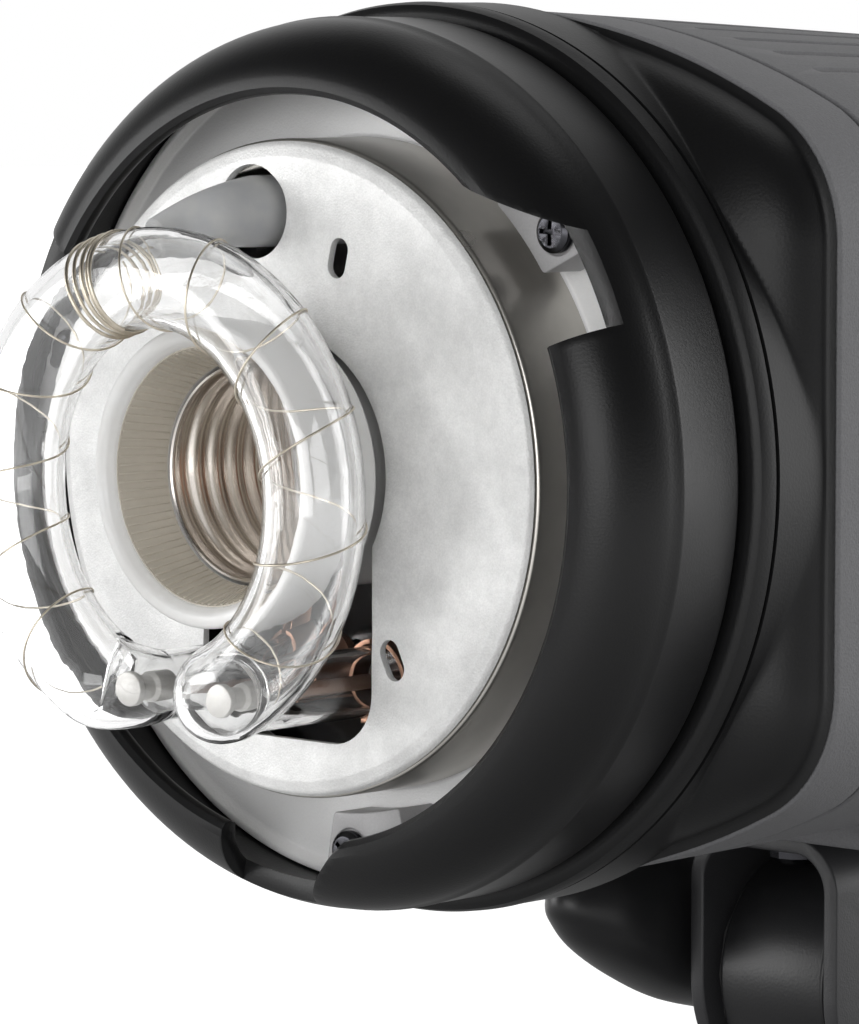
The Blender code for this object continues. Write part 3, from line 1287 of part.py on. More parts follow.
def make_fan(floor):
    half = FAN_SIZE / 2
    centre = (0, floor + half)
    frame = flat_piece([rounded_rectangle(half, half, 0.004, 3, centre), circle(half - 0.0015, centre, 40)], FAN_THICKNESS)
    moved(frame, (0, FAN_Y + FAN_THICKNESS / 2, 0))
    frame = add_object("fan_frame", frame, BLACK_PLASTIC, FLASH_AXIS)
    bar = 0.0020
    back = FAN_Y + FAN_THICKNESS - bar / 2
    join(frame, block((FAN_SIZE - 0.001, bar, 0.004), (0, back, centre[1])))
    join(frame, block((0.004, bar, FAN_SIZE - 0.001), (0, back, centre[1])))
    depth = FAN_THICKNESS - bar - 3 * GAP
    hub = disc(FAN_HUB_RADIUS, 0, depth, 24)
    rotor = add_object("fan_rotor", hub, BLACK_PLASTIC, FLASH_AXIS, (0, FAN_Y + GAP, centre[1]))
    blade_tip = half - 0.0015 - 0.0012
    for i in range(FAN_BLADES):
        blade = block((blade_tip - FAN_HUB_RADIUS + 0.003, 0.0012, depth * 1.05), (0, 0, 0))
        blade.transform(Matrix.Rotation(radians(52), 4, "X"))
        blade.transform(Matrix.Translation(((blade_tip + FAN_HUB_RADIUS - 0.003) / 2, depth / 2, 0)))
        blade.transform(Matrix.Rotation(math.tau * i / FAN_BLADES, 4, "Y"))
        join(rotor, blade)


def make_bracket_fork():
    """A steel strip bent to a fork: its web under the case, its ears either side of the barrel."""
    outer = EAR_GAP_HALF + FORK_STEEL
    drop = FLASH_ABOVE_TILT + EAR_RADIUS
    inner_bend = FORK_BEND - FORK_STEEL
    top = FORK_TOP_Z
    right = [(outer, -drop)]
    right += [(outer - FORK_BEND * (1 - math.cos(radians(a))), top - FORK_BEND * (1 - math.sin(radians(a)))) for a in range(0, 91, 15)]
    left = [(-x, z) for x, z in reversed(right)]
    inside = []
    for a in range(90, -1, -15):
        x = EAR_GAP_HALF - inner_bend * (1 - math.cos(radians(a)))
        inside.append((-x, top - FORK_STEEL - inner_bend * (1 - math.sin(radians(a)))))
    inside.append((-EAR_GAP_HALF, -drop))
    inside_left = list(reversed(inside))
    inside_right = [(-x, z) for x, z in inside]
    outline = right + left + inside_left + inside_right
    fork = flat_piece([outline], 2 * EAR_RADIUS)
    fork = add_object("bracket_fork", moved(fork, (0, LIP_AHEAD_OF_TILT, 0)), BLACK_PAINT, FLASH_AXIS)
    ear = [(EAR_RADIUS + CUT, top + CUT + FLASH_ABOVE_TILT), (-EAR_RADIUS - CUT, top + CUT + FLASH_ABOVE_TILT)]
    ear += [polar(EAR_RADIUS, a) for a in range(180, 361, 12)]
    shape = [(LIP_AHEAD_OF_TILT + y, z - FLASH_ABOVE_TILT) for y, z in ear]
    boolean(fork, flat_piece([shape], 4 * outer, FACING_SIDE), "INTERSECT")
    bore = disc(BOLT_RADIUS + GAP, -2 * outer, 2 * outer, 20, ALONG_X)
    cut(fork, moved(bore, (0, LIP_AHEAD_OF_TILT, -FLASH_ABOVE_TILT)))
    for y in bracket_screw_places():
        hole = disc(BRACKET_SCREW_RADIUS + SCREW_FIT, 0, FORK_STEEL + 2 * CUT, 12, Matrix.Identity(4))
        cut(fork, moved(hole, (0, y, FORK_TOP_Z - FORK_STEEL - CUT)))


def make_bracket_screws():
    for i, y in enumerate(bracket_screw_places()):
        under = FORK_TOP_Z - FORK_STEEL - GAP
        screw = turned([
            (0, under + FORK_STEEL + BRACKET_SCREW_GRIP),
            (BRACKET_SCREW_RADIUS, under + FORK_STEEL + BRACKET_SCREW_GRIP),
            (BRACKET_SCREW_RADIUS, under),
            (BRACKET_SCREW_HEAD, under),
            (BRACKET_SCREW_HEAD, under - BRACKET_SCREW_HEAD_HEIGHT * 0.6),
            (BRACKET_SCREW_HEAD * 0.7, under - BRACKET_SCREW_HEAD_HEIGHT),
            (0, under - BRACKET_SCREW_HEAD_HEIGHT),
        ], 12, Matrix.Identity(4))
        add_object(f"bracket_screw_{i + 1}", moved(screw, (0, y, 0)), DARK_STEEL, FLASH_AXIS)


def make_tilt_bolt():
    """The tilt pivot: a hex head outside one ear and a shank to the lever outside the other."""
    ear_face = EAR_GAP_HALF + FORK_STEEL + GAP
    shank = disc(BOLT_RADIUS, -BOLT_END, ear_face + CUT, 20, ALONG_X)
    bolt = add_object("tilt_bolt", shank, STEEL, TILT_AXIS)
    head = disc(BOLT_HEAD_RADIUS, ear_face, ear_face + BOLT_HEAD_HEIGHT, 6, ALONG_X)
    join(bolt, head)
    for i, side in enumerate((-1, 1)):
        inner = BOLT_RADIUS + GAP
        start = EAR_GAP_HALF - GAP - WASHER_THICKNESS
        end = EAR_GAP_HALF - GAP
        washer = turned([(inner, start), (WASHER_RADIUS, start), (WASHER_RADIUS, end), (inner, end)], SMALL, ALONG_X, True)
        if side < 0:
            washer.transform(Matrix.Rotation(math.pi, 4, "Z"))
        add_object(f"friction_washer_{i + 1}", washer, RUBBER, TILT_AXIS)


def make_tilt_lever():
    """Clamp lever on the tilt bolt: a collar, a hub and a paddle that points forward."""
    ear_face = -(EAR_GAP_HALF + FORK_STEEL + GAP)
    outline = []
    for i in range(13):
        outline.append(polar(LEVER_HUB_RADIUS, -106 + 212 * i / 12))
    for i in range(5):
        x, z = polar(LEVER_TIP_RADIUS, 106 + 148 * i / 4)
        outline.append((x - LEVER_REACH, z))
    outline = tilted(outline, -LEVER_RISE, (0, 0))
    paddle = moved(flat_piece([outline], LEVER_THICKNESS, FACING_SIDE), (ear_face - LEVER_COLLAR - LEVER_THICKNESS / 2, 0, 0))
    lever = soften(add_object("tilt_lever", paddle, BLACK_PLASTIC, TILT_AXIS), LEVER_EDGE, 2, 60)
    collar = disc(LEVER_COLLAR_RADIUS, ear_face - LEVER_COLLAR - 0.003, ear_face, SMALL, ALONG_X)
    join(lever, collar)
    cut(lever, disc(BOLT_RADIUS + GAP, -BOLT_END - GAP, ear_face + CUT, 20, ALONG_X))


def make_stand_adapter():
    """Casting with the spigot socket below, the umbrella bore across it and the hinge barrel above."""
    bore = SPIGOT_DIAMETER / 2 + SPIGOT_FIT / 2
    column_top = UMBRELLA_HEIGHT - 0.0065
    rim = 0.0010
    column = turned([
        (0, column_top),
        (SOCKET_RADIUS - 0.002, column_top),
        (SOCKET_RADIUS, column_top - 0.003),
        (SOCKET_RADIUS, rim),
        (SOCKET_RADIUS - rim, 0),
        (bore, 0),
        (bore, SOCKET_DEPTH),
        (0, SOCKET_DEPTH),
    ], MEDIUM, Matrix.Identity(4))
    adapter = add_object("stand_adapter", column, CAST_METAL)
    half = EAR_GAP_HALF - WASHER_THICKNESS - 2 * GAP
    neck_bottom = column_top - 0.003
    neck_height = TILT_HEIGHT - neck_bottom
    neck = block((2 * half, 2 * NECK_DEPTH_HALF, neck_height), (0, 0, neck_bottom + neck_height / 2), 0.0015, 1)
    join(adapter, neck)
    barrel = disc(BARREL_RADIUS, -half, half, MEDIUM, ALONG_X)
    join(adapter, moved(barrel, (0, 0, TILT_HEIGHT)))
    lock_boss = disc(LOCK_BOSS_RADIUS, 0.010, LOCK_BOSS_REACH, 24, ALONG_X)
    join(adapter, moved(lock_boss, (0, 0, LOCK_HEIGHT)))
    small_boss = disc(UMBRELLA_BOSS_RADIUS, 0.006, UMBRELLA_BOSS_REACH, 16, ALONG_X)
    join(adapter, moved(small_boss, (0, 0, UMBRELLA_HEIGHT)))
    pivot = disc(BOLT_RADIUS + GAP, -2 * half, 2 * half, 20, ALONG_X)
    cut(adapter, moved(pivot, (0, 0, TILT_HEIGHT)))
    umbrella = disc(UMBRELLA_BORE_RADIUS, -2 * SOCKET_RADIUS, 2 * SOCKET_RADIUS, 24)
    cut(adapter, moved(umbrella, (0, 0, UMBRELLA_HEIGHT)))
    lock_hole = disc(LOCK_SCREW_RADIUS + SCREW_FIT, 0.002, LOCK_BOSS_REACH + CUT, 16, ALONG_X)
    cut(adapter, moved(lock_hole, (0, 0, LOCK_HEIGHT)))
    small_hole = disc(UMBRELLA_SCREW_RADIUS + SCREW_FIT, 0, UMBRELLA_BOSS_REACH + CUT, 12, ALONG_X)
    cut(adapter, moved(small_hole, (0, 0, UMBRELLA_HEIGHT)))


def make_stand_lock():
    """Lobed knob with its screw through the boss to the spigot."""
    start = LOCK_BOSS_REACH + GAP
    outline = []
    steps = LOCK_KNOB_LOBES * 6
    for i in range(steps):
        wave = LOCK_KNOB_WAVE * math.cos(math.tau * LOCK_KNOB_LOBES * i / steps)
        outline.append(polar(LOCK_KNOB_RADIUS - LOCK_KNOB_WAVE + wave, 360 * i / steps))
    end = start + LOCK_KNOB_LENGTH
    rings = []
    for x, scale in ((start, 0.82), (start + 0.002, 1.0), (end - 0.002, 1.0), (end, 0.84)):
        rings.append([(x, y * scale, z * scale) for y, z in outline])
    knob = add_object("stand_lock", lofted(rings), BLACK_PLASTIC, None, (0, 0, LOCK_HEIGHT))
    tip = SPIGOT_DIAMETER / 2 + SPIGOT_FIT
    join(knob, disc(LOCK_SCREW_RADIUS, tip, start + CUT, 16, ALONG_X))


def make_umbrella_lock():
    start = UMBRELLA_BOSS_REACH + GAP * 2
    end = start + UMBRELLA_KNOB_LENGTH
    knob = turned([
        (0, end),
        (UMBRELLA_KNOB_RADIUS - 0.001, end),
        (UMBRELLA_KNOB_RADIUS, end - 0.001),
        (UMBRELLA_KNOB_RADIUS, start + 0.002),
        (UMBRELLA_KNOB_RADIUS - 0.002, start),
        (UMBRELLA_SCREW_RADIUS, start),
        (UMBRELLA_SCREW_RADIUS, UMBRELLA_BORE_RADIUS + 0.001),
        (0, UMBRELLA_BORE_RADIUS + 0.001),
    ], SMALL, ALONG_X)
    add_object("umbrella_lock", knob, BLACK_PLASTIC, None, (0, 0, UMBRELLA_HEIGHT))


make_mount_ring()
make_ring_tabs()
make_reflector_can()
make_reflector_plate()
make_flash_tube()
make_trigger_sleeve()
make_trigger_wires()
make_lamp_holder()
make_carrier_plate()
make_front_shroud()
make_release()
make_front_bezel()
make_upper_cover()
make_lower_cover()
make_rear_panel()
make_rear_handle()
make_window()
make_dial()
make_buttons()
make_inlet()
make_switch()
make_fuse_holder()
make_jack_and_sensor()
make_electronics()
make_bracket_fork()
make_bracket_screws()
make_tilt_bolt()
make_tilt_lever()
make_stand_adapter()
make_stand_lock()
make_umbrella_lock()
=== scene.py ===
import math

import bmesh
import bpy
from mathutils import Matrix, Vector, noise


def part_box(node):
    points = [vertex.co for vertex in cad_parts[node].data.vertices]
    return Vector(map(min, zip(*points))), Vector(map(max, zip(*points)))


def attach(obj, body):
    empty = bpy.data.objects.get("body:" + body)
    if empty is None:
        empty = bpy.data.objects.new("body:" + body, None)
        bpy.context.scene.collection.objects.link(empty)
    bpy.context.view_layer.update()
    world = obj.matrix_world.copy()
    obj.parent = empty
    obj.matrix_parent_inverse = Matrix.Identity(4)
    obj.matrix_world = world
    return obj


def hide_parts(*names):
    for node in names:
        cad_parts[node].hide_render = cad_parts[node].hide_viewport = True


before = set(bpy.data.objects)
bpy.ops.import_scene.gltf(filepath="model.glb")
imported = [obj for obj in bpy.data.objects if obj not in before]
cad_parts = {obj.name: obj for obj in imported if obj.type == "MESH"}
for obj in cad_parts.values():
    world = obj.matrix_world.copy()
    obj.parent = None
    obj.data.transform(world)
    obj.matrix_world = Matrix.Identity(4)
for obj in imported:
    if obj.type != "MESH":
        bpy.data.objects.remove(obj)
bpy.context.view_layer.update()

# The flash axis runs along +Y through the ring; its zero is the ring's lip
RING_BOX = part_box("mount_ring")
FLASH = Vector((0.0, RING_BOX[0][1], (RING_BOX[0][2] + RING_BOX[1][2]) / 2))
TILT = Vector((0.0, 0.0, 0.072))

# Camera, fitted to the photograph's ring, plate and tube
VIEW_AZIMUTH = 43.13
VIEW_ELEVATION = 5.14
VIEW_DISTANCE = 0.700
VIEW_ACROSS = 0.01957
VIEW_UP = -0.00555
FOCAL_PIXELS = 5256
PICTURE_HEIGHT = 1024
SENSOR = 36.0
# The side that gloss sees dark
DARK_SIDE = (0.68, -0.73, 0.10)

# Accessory ring
LIP_RADIUS = 0.0500
RING_RADIUS = 0.0602
RING_WALL = 0.0027
RING_SHOULDER_Y = 0.0115
RING_BACK_Y = 0.0228
RING_FLOOR_Y = 0.0178
RING_BORE_RADIUS = 0.0465
# Where the shoulder's bead lies from the ring's wall and shoulder
SHOULDER_BEAD = ((-0.00006, -0.0004), (0.00010, 0.0), (0.00010, 0.0004), (0.0, 0.0009))
NOTCH_DEPTH = 0.0060
NOTCH_OVERSHOOT = 0.0030
# Each notch: its radial edge's angle, then how far past it the slant meets the lip and the wall
NOTCHES = ((21.2, 29.2, 11.3), (147.0, 29.2, 11.3), (256.5, 26.0, 12.5))
TAB_START = 14.0
TAB_END = 29.0
TAB_LEAN = 1.8
TAB_INNER_RADIUS = 0.0468
TAB_OUTER_RADIUS = 0.0560
TAB_THICKNESS = 0.0070
SCREW_PAST_EDGE = 17.5
SCREW_RADIUS = 0.0520

# Can and plate
CAN_RADIUS = 0.0441
CAN_FLANGE_Y = 0.0165
CAN_FLANGE_RADIUS = 0.0573
PLATE_Y = 0.0007
PLATE_RADIUS = 0.0438
SHEET = 0.0010
CORE_HOLE_RADIUS = 0.0183
LEG_OPENING_HALF_WIDTH = 0.0158
LEG_OPENING_BOTTOM = -0.0360
LEG_OPENING_CORNER = 0.0072
SLEEVE_HOLE_RADIUS = 0.0063
SLEEVE_HOLE_X = -0.0060
SLEEVE_HOLE_Z = 0.0343
HAND_SLOTS = ((0.0097, 0.0285, 0.0016, 0.0027, -14.0), (0.0195, -0.0240, 0.0017, 0.0028, 26.0))

# Flash tube
TUBE_RING_RADIUS = 0.02790
TUBE_RADIUS = 0.00660
TUBE_WALL = 0.0010
TUBE_Y = -0.0225
TUBE_Z = -0.0015
TUBE_END_ANGLE = 155.0
LEG_RADIUS = 0.0047
LEG_BEND = 0.0085
LEG_END_Y = 0.0190
ELECTRODE_Y = -0.0205
# Radius of the electrode, and how far back from its face
ELECTRODE_PROFILE = (
    (0, 0.010), (0.0008, 0.010), (0.0008, 0.007), (0.0021, 0.007), (0.0021, 0.004), (0.0017, 0.0034),
    (0.0017, 0.0016), (0.0023, 0.001), (0.0023, 0.0), (0, -0.0002),
)

# Trigger lead
WIRE_RADIUS = 0.00015
LASHING_ANGLE = -19.0
LASHING_TURNS = 3
LASHING_PITCH = 0.0011
WIRE_TURNS_RIGHT = 6
WIRE_TURNS_LEFT = 5
WIRE_END_ANGLE = 148.0
SLEEVE_TIP = (-0.0085, -0.0148, 0.0312)
SLEEVE_TIP_RADIUS = 0.0026
SLEEVE_ROOT_RADIUS = 0.0048

# Lamp holder
HOLDER_RIM_RADIUS = 0.0200
HOLDER_RIM_Y = -0.0157
HOLDER_MOUTH_RADIUS = 0.0173
HOLDER_WAIST_RADIUS = 0.0162
HOLDER_WAIST_Y = -0.0020
HOLDER_BORE_RADIUS = 0.0150
HOLDER_BORE_Y = -0.0068
HOLDER_FLOOR_Y = 0.0150
HOLDER_BACK_Y = 0.0208
THREAD_RADIUS = 0.0143
THREAD_PITCH = 0.0036

# Shroud and case
SHROUD_FRONT_Y = 0.0245
NECK_RADIUS = 0.0622
SHROUD_BORE = 0.0575
FLARE_LENGTH = 0.0100
SHROUD_BACK_Y = 0.0380
CASE_BACK_Y = 0.2750
# Half width, depth below the axis, height above it and curvature of the crowned sides
CASE_FRONT = (0.0640, 0.0585, 0.0615, 1 / 0.1150)
CASE_BACK = (0.0600, 0.0530, 0.0510, 1 / 0.4000)
CASE_CORNER = 0.0200
BEZEL_BACK_Y = 0.0508
COVER_GROOVE = 0.0010
COVER_BACK_Y = 0.2620
CASE_WALL = 0.0024
CASE_SPLIT_Z = -0.0060
VENT_COUNT = 13
VENT_PITCH = 0.0070
VENT_WIDTH = 0.0018
VENT_LENGTH = 0.0780
VENT_START_Y = 0.0600

# Rear panel
PANEL_FACE = 0.0040
WINDOW_Z = 0.0180
DIAL_Z = -0.0110
KEY_X = 0.0320
KEY_ROWS = (-0.0020, -0.0160)
SERVICE_Z = -0.0360
SWITCH_X = -0.0015
HANDLE_X = 0.0380
HANDLE_Z = 0.0400
# Round holes: radius, place across, height, sides
ROUND_HOLES = (
    (0.0030, 0.0, DIAL_Z, 48), (0.0042, 0.0440, WINDOW_Z, 64), (0.0055, -0.0440, WINDOW_Z, 64),
    (0.0070, -0.0205, SERVICE_Z, 64), (0.0042, -0.0360, SERVICE_Z, 64),
)
# Square holes: half width, half height, corner, place across, height
SQUARE_HOLES = (
    *((0.0056, 0.0034, 0.0006, x, z) for x in (-KEY_X, KEY_X) for z in KEY_ROWS),
    (0.0140, 0.0100, 0.0008, 0.0245, SERVICE_Z), (0.0075, 0.0105, 0.0006, SWITCH_X, SERVICE_Z),
)
# Height on the dial, and its radius there as a share
DIAL_PROFILE = (
    (0.0, 0.985), (0.0004, 1.0), (0.0100, 0.965), (0.0118, 0.945), (0.0126, 0.90), (0.0130, 0.80),
    (0.0128, 0.70), (0.0124, 0.66),
)

# Stand fitting and the pad it is screwed to
GAP = 0.0003
PAD_Y = 0.121
PAD_STAND = 0.0031
PIVOT_RADIUS = 0.0041
STAND_SCREW_Z = 0.019
UMBRELLA_Z = 0.0455

ALONG_Y = Matrix.Rotation(math.radians(-90), 4, "X")
ALONG_X = Matrix.Rotation(math.radians(90), 4, "Y")
UPRIGHT = Matrix.Identity(4)
FACING_FRONT = Matrix.Rotation(math.radians(90), 4, "X")
FACING_SIDE = Matrix(((0, 0, 1, 0), (1, 0, 0, 0), (0, 1, 0, 0), (0, 0, 0, 1)))
FINE = 180
CLOSE = 96
rad = math.radians


# Points and outlines
def polar(radius, angle):
    return (radius * math.cos(rad(angle)), radius * math.sin(rad(angle)))


def arc(radius, start, end, steps):
    return [polar(radius, start + (end - start) * i / steps) for i in range(steps + 1)]


def quarter(radius, steps):
    """How far a rounded edge lies inside its corner, both ways, from one side to the other."""
    return [(radius * (1 - x), radius * (1 - y)) for x, y in arc(1.0, 0, 90, steps)]


def circle(radius, steps=CLOSE, centre=(0.0, 0.0)):
    angles = [math.tau * i / steps for i in range(steps)]
    return [(centre[0] + radius * math.cos(a), centre[1] + radius * math.sin(a)) for a in angles]


def mirrored(points):
    """The points on the other side of the middle, in reverse order."""
    return [type(point)((-point[0], *point[1:])) for point in reversed(points)]


def rounded_rectangle(half_width, half_height, corner, steps=6, centre=(0.0, 0.0)):
    points = []
    for x_side, y_side, start in ((1, 1, 0), (-1, 1, 90), (-1, -1, 180), (1, -1, 270)):
        middle_x = centre[0] + x_side * (half_width - corner)
        middle_y = centre[1] + y_side * (half_height - corner)
        points += [(middle_x + x, middle_y + y) for x, y in arc(corner, start, start + 90, steps)]
    return points


def rounded(profile, radius, steps=4, closed=False):
    """The profile with its corners turned into arcs of about the radius, so far as the sides allow."""
    points = [Vector(p) for p in profile]
    out = []
    count = len(points)
    for i, point in enumerate(points):
        to_before, to_after = points[i - 1] - point, points[(i + 1) % count] - point
        turn = to_before.angle(to_after, math.pi)
        if turn > rad(165) or (not closed and i in (0, count - 1)):
            out.append(tuple(point))
            continue
        reach = min(radius / math.tan(turn / 2), to_before.length * 0.45, to_after.length * 0.45)
        start = point + to_before.normalized() * reach
        end = point + to_after.normalized() * reach
        for t in (k / steps for k in range(steps + 1)):
            out.append(tuple(start * (1 - t) ** 2 + point * 2 * t * (1 - t) + end * t ** 2))
    return out


# Mesh tools
def place(data):
    obj = bpy.data.objects.new("piece", data)
    bpy.context.scene.collection.objects.link(obj)
    return obj


def settled(obj):
    """Turns an object with modifiers into one with a plain mesh."""
    bpy.context.view_layer.update()
    graph = bpy.context.evaluated_depsgraph_get()
    mesh = bpy.data.meshes.new_from_object(obj.evaluated_get(graph))
    bpy.data.objects.remove(obj)
    return place(mesh)


def placed(bm):
    """The finished bmesh as an object of its own."""
    mesh = bpy.data.meshes.new("made")
    bm.to_mesh(mesh)
    bm.free()
    return place(mesh)


def opened(obj):
    bm = bmesh.new()
    bm.from_mesh(obj.data)
    return bm


def closed_up(bm):
    """Merges near points and turns the faces outward."""
    bmesh.ops.remove_doubles(bm, verts=bm.verts, dist=1e-6)
    bmesh.ops.recalc_face_normals(bm, faces=bm.faces)
    return placed(bm)


def simplified(bm, distance, flat):
    """Merges near points and joins faces that lie flat to one another."""
    bmesh.ops.remove_doubles(bm, verts=bm.verts, dist=distance)
    bmesh.ops.dissolve_limit(bm, angle_limit=rad(flat), verts=bm.verts, edges=bm.edges)


def skin(rows, along=False, caps=False):
    """Quads between closed rows of points; along joins the last row to the first."""
    bm = bmesh.new()
    made = [[bm.verts.new(point) for point in row] for row in rows]
    for near, far in zip(made, made[1:] + (made[:1] if along else [])):
        for i in range(len(near)):
            j = (i + 1) % len(near)
            bm.faces.new((near[i], near[j], far[j], far[i]))
    if caps:
        bm.faces.new(made[0])
        bm.faces.new(made[-1])
    bmesh.ops.remove_doubles(bm, verts=bm.verts, dist=1e-7)
    return closed_up(bm)


def turned(profile, segments=CLOSE, turn=ALONG_Y, closed=False):
    """A profile of (radius, along) points turned about an axis."""
    rows = [[turn @ Vector((x, y, along)) for x, y in circle(radius, segments)] for radius, along in profile]
    return skin(rows, along=closed)


def disc(radius, start, end, segments=CLOSE, turn=ALONG_Y, edge=0.0, spot=(0, 0, 0)):
    profile = [(0, end), (radius, end), (radius, start), (0, start)]
    return shift(turned(rounded(profile, edge) if edge else profile, segments, turn), spot)


def sheet(outline, thickness, turn=FACING_FRONT, spot=(0, 0, 0)):
    """A flat piece from an outline in its own plane, turned and then moved to its spot."""
    curve = bpy.data.curves.new("outline", "CURVE")
    curve.dimensions = "2D"
    curve.fill_mode = "BOTH"
    curve.extrude = thickness / 2
    spline = curve.splines.new("POLY")
    spline.points.add(len(outline) - 1)
    for point, (x, y) in zip(spline.points, outline):
        point.co = (x, y, 0.0, 1.0)
    spline.use_cyclic_u = True
    obj = settled(place(curve))
    bm = opened(obj)
    simplified(bm, 1e-7, 1)
    bmesh.ops.recalc_face_normals(bm, faces=bm.faces)
    bm.transform(turn)
    bm.to_mesh(obj.data)
    bm.free()
    return shift(obj, spot)


def tube(points, radii, sides):
    """A round tube swept along points without twist; radii is one radius, or one for each point."""
    rows, side = [], None
    path = [Vector(p) for p in points]
    for i, point in enumerate(path):
        ahead = (path[min(i + 1, len(path) - 1)] - path[max(i - 1, 0)]).normalized()
        side = side or ahead.orthogonal().normalized()
        side = (side - ahead * side.dot(ahead)).normalized()
        other = ahead.cross(side)
        radius = radii[i] if isinstance(radii, list) else radii
        rows.append([point + (side * x + other * y) * radius for x, y in circle(1.0, sides)])
    return skin(rows, caps=True)


def box(size, centre, edge=0.0, steps=3):
    bm = bmesh.new()
    bmesh.ops.create_cube(bm, size=1.0)
    bmesh.ops.scale(bm, vec=size, verts=bm.verts)
    if edge:
        bmesh.ops.bevel(bm, geom=bm.edges, offset=edge, segments=steps, profile=0.5, affect="EDGES")
    bmesh.ops.translate(bm, vec=centre, verts=bm.verts)
    return closed_up(bm)


def shift(obj, offset):
    obj.data.transform(Matrix.Translation(offset))
    return obj


def turn_piece(obj, angle, axis="Y", about=(0, 0, 0)):
    there, back = Matrix.Translation(about), Matrix.Translation(-Vector(about))
    obj.data.transform(there @ Matrix.Rotation(rad(angle), 4, axis) @ back)
    return obj


def cut(obj, *tools, operation="DIFFERENCE"):
    for tool in tools:
        modifier = obj.modifiers.new("combine", "BOOLEAN")
        modifier.operation = operation
        modifier.solver = "EXACT"
        modifier.object = tool
        obj = settled(obj)
        bpy.data.objects.remove(tool)
    return obj


def joined(obj, *tools):
    return cut(obj, *tools, operation="UNION")


def gathered(*objs):
    """Several loose objects as one mesh, without a boolean."""
    bm = bmesh.new()
    for obj in objs:
        bm.from_mesh(obj.data)
        bpy.data.objects.remove(obj)
    return placed(bm)


def eased(obj, width, steps=3, angle=32):
    """Rounds every sharp edge of the piece."""
    bm = opened(obj)
    simplified(bm, 2e-6, 0.5)
    bm.to_mesh(obj.data)
    bm.free()
    bevel = obj.modifiers.new("ease", "BEVEL")
    bevel.width = width
    bevel.segments = steps
    bevel.limit_method = "ANGLE"
    bevel.angle_limit = rad(angle)
    return settled(obj)


def dress(obj, name, material, node=None, body="head", origin=FLASH, sharp=34):
    """Names a finished piece, puts it on its body and hides the node it stands for."""
    shift(obj, origin)
    obj.name = name
    obj.data.name = name
    if not obj.data.materials:
        obj.data.materials.append(material)
    obj.data.shade_smooth()
    obj.data.set_sharp_from_angle(angle=rad(sharp))
    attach(obj, body)
    if node:
        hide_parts(node)


# Node tools
def feed(tree, node, inputs):
    """Sets or links the named inputs of a node."""
    for key, value in inputs.items():
        if isinstance(value, bpy.types.NodeSocket):
            tree.links.new(value, node.inputs[key])
        else:
            node.inputs[key].default_value = value


def add(tree, kind, inputs=None, **settings):
    """A new node with its settings made and its inputs fed; gives its outputs."""
    node = tree.nodes.new(kind)
    for key, value in settings.items():
        setattr(node, key, value)
    feed(tree, node, inputs or {})
    return node.outputs


def group_tree(name, inputs, outputs, kind="Shader"):
    """A node group with its sockets; gives its tree, what it is given and its end node."""
    tree = bpy.data.node_groups.new(name, kind + "NodeTree")
    for way, sockets in (("INPUT", inputs), ("OUTPUT", outputs)):
        for label, socket in sockets.items():
            tree.interface.new_socket(label, in_out=way, socket_type="NodeSocket" + socket)
    return tree, tree.nodes.new("NodeGroupInput").outputs, tree.nodes.new("NodeGroupOutput")


def clouds(tree, vector, scale, detail, rough=0.5):
    inputs = {"Vector": vector, "Scale": scale, "Detail": detail, "Roughness": rough}
    return add(tree, "ShaderNodeTexNoise", inputs)["Fac"]


def ranged(tree, value, low, high, to_low=0.0, to_high=1.0, **settings):
    inputs = {"Value": value, "From Min": low, "From Max": high, "To Min": to_low, "To Max": to_high}
    return add(tree, "ShaderNodeMapRange", inputs, **settings)["Result"]


def maths(tree, operation, *values):
    return add(tree, "ShaderNodeMath", dict(enumerate(values)), operation=operation)[0]


def grain_group():
    """Fine grain of a moulded or blasted surface: a height, and a value about one for colour."""
    inputs = {"Vector": "Vector", "Scale": "Float", "Depth": "Float"}
    tree, given, end = group_tree("surface_grain", inputs, {"Height": "Float", "Value": "Float"})
    fine = clouds(tree, given["Vector"], given["Scale"], 3.0, 0.6)
    cells = add(tree, "ShaderNodeTexVoronoi", {"Vector": given["Vector"], "Scale": given["Scale"]})
    height = maths(tree, "MULTIPLY_ADD", fine, 0.7, cells["Distance"])
    deep = maths(tree, "MULTIPLY", maths(tree, "SUBTRACT", fine, 0.5), given["Depth"])
    feed(tree, end, {"Height": height, "Value": maths(tree, "ADD", deep, 1.0)})
    return tree


def handling_group():
    """Slow variation of gloss from handling, and a faint dust on faces that look up."""
    inputs = {"Vector": "Vector", "Roughness": "Float", "Spread": "Float"}
    tree, given, end = group_tree("handling", inputs, {"Roughness": "Float", "Dust": "Float"})
    centred = maths(tree, "SUBTRACT", clouds(tree, given["Vector"], 38.0, 4.0), 0.5)
    rough = maths(tree, "ADD", maths(tree, "MULTIPLY", centred, given["Spread"]), given["Roughness"])
    facing = add(tree, "ShaderNodeSeparateXYZ", {0: add(tree, "ShaderNodeNewGeometry")["Normal"]})
    upward = ranged(tree, facing["Z"], 0.55, 1.0)
    dusty = ranged(tree, clouds(tree, given["Vector"], 420.0, 5.0, 0.7), 0.5, 0.8)
    feed(tree, end, {"Roughness": rough, "Dust": maths(tree, "MULTIPLY", upward, dusty)})
    return tree


def rings_group():
    """Fine rings about the flash axis, as a spun or drawn metal wall has."""
    tree, given, end = group_tree("spun_rings", {"Vector": "Vector", "Scale": "Float"}, {"Height": "Float"})
    x, y, z = add(tree, "ShaderNodeSeparateXYZ", {0: given["Vector"]})
    total = maths(tree, "ADD", maths(tree, "MULTIPLY", x, x), maths(tree, "MULTIPLY", z, z))
    pair = add(tree, "ShaderNodeCombineXYZ", {"X": maths(tree, "SQRT", total), "Y": y})
    feed(tree, end, {"Height": clouds(tree, pair[0], given["Scale"], 3.0, 0.7)})
    return tree


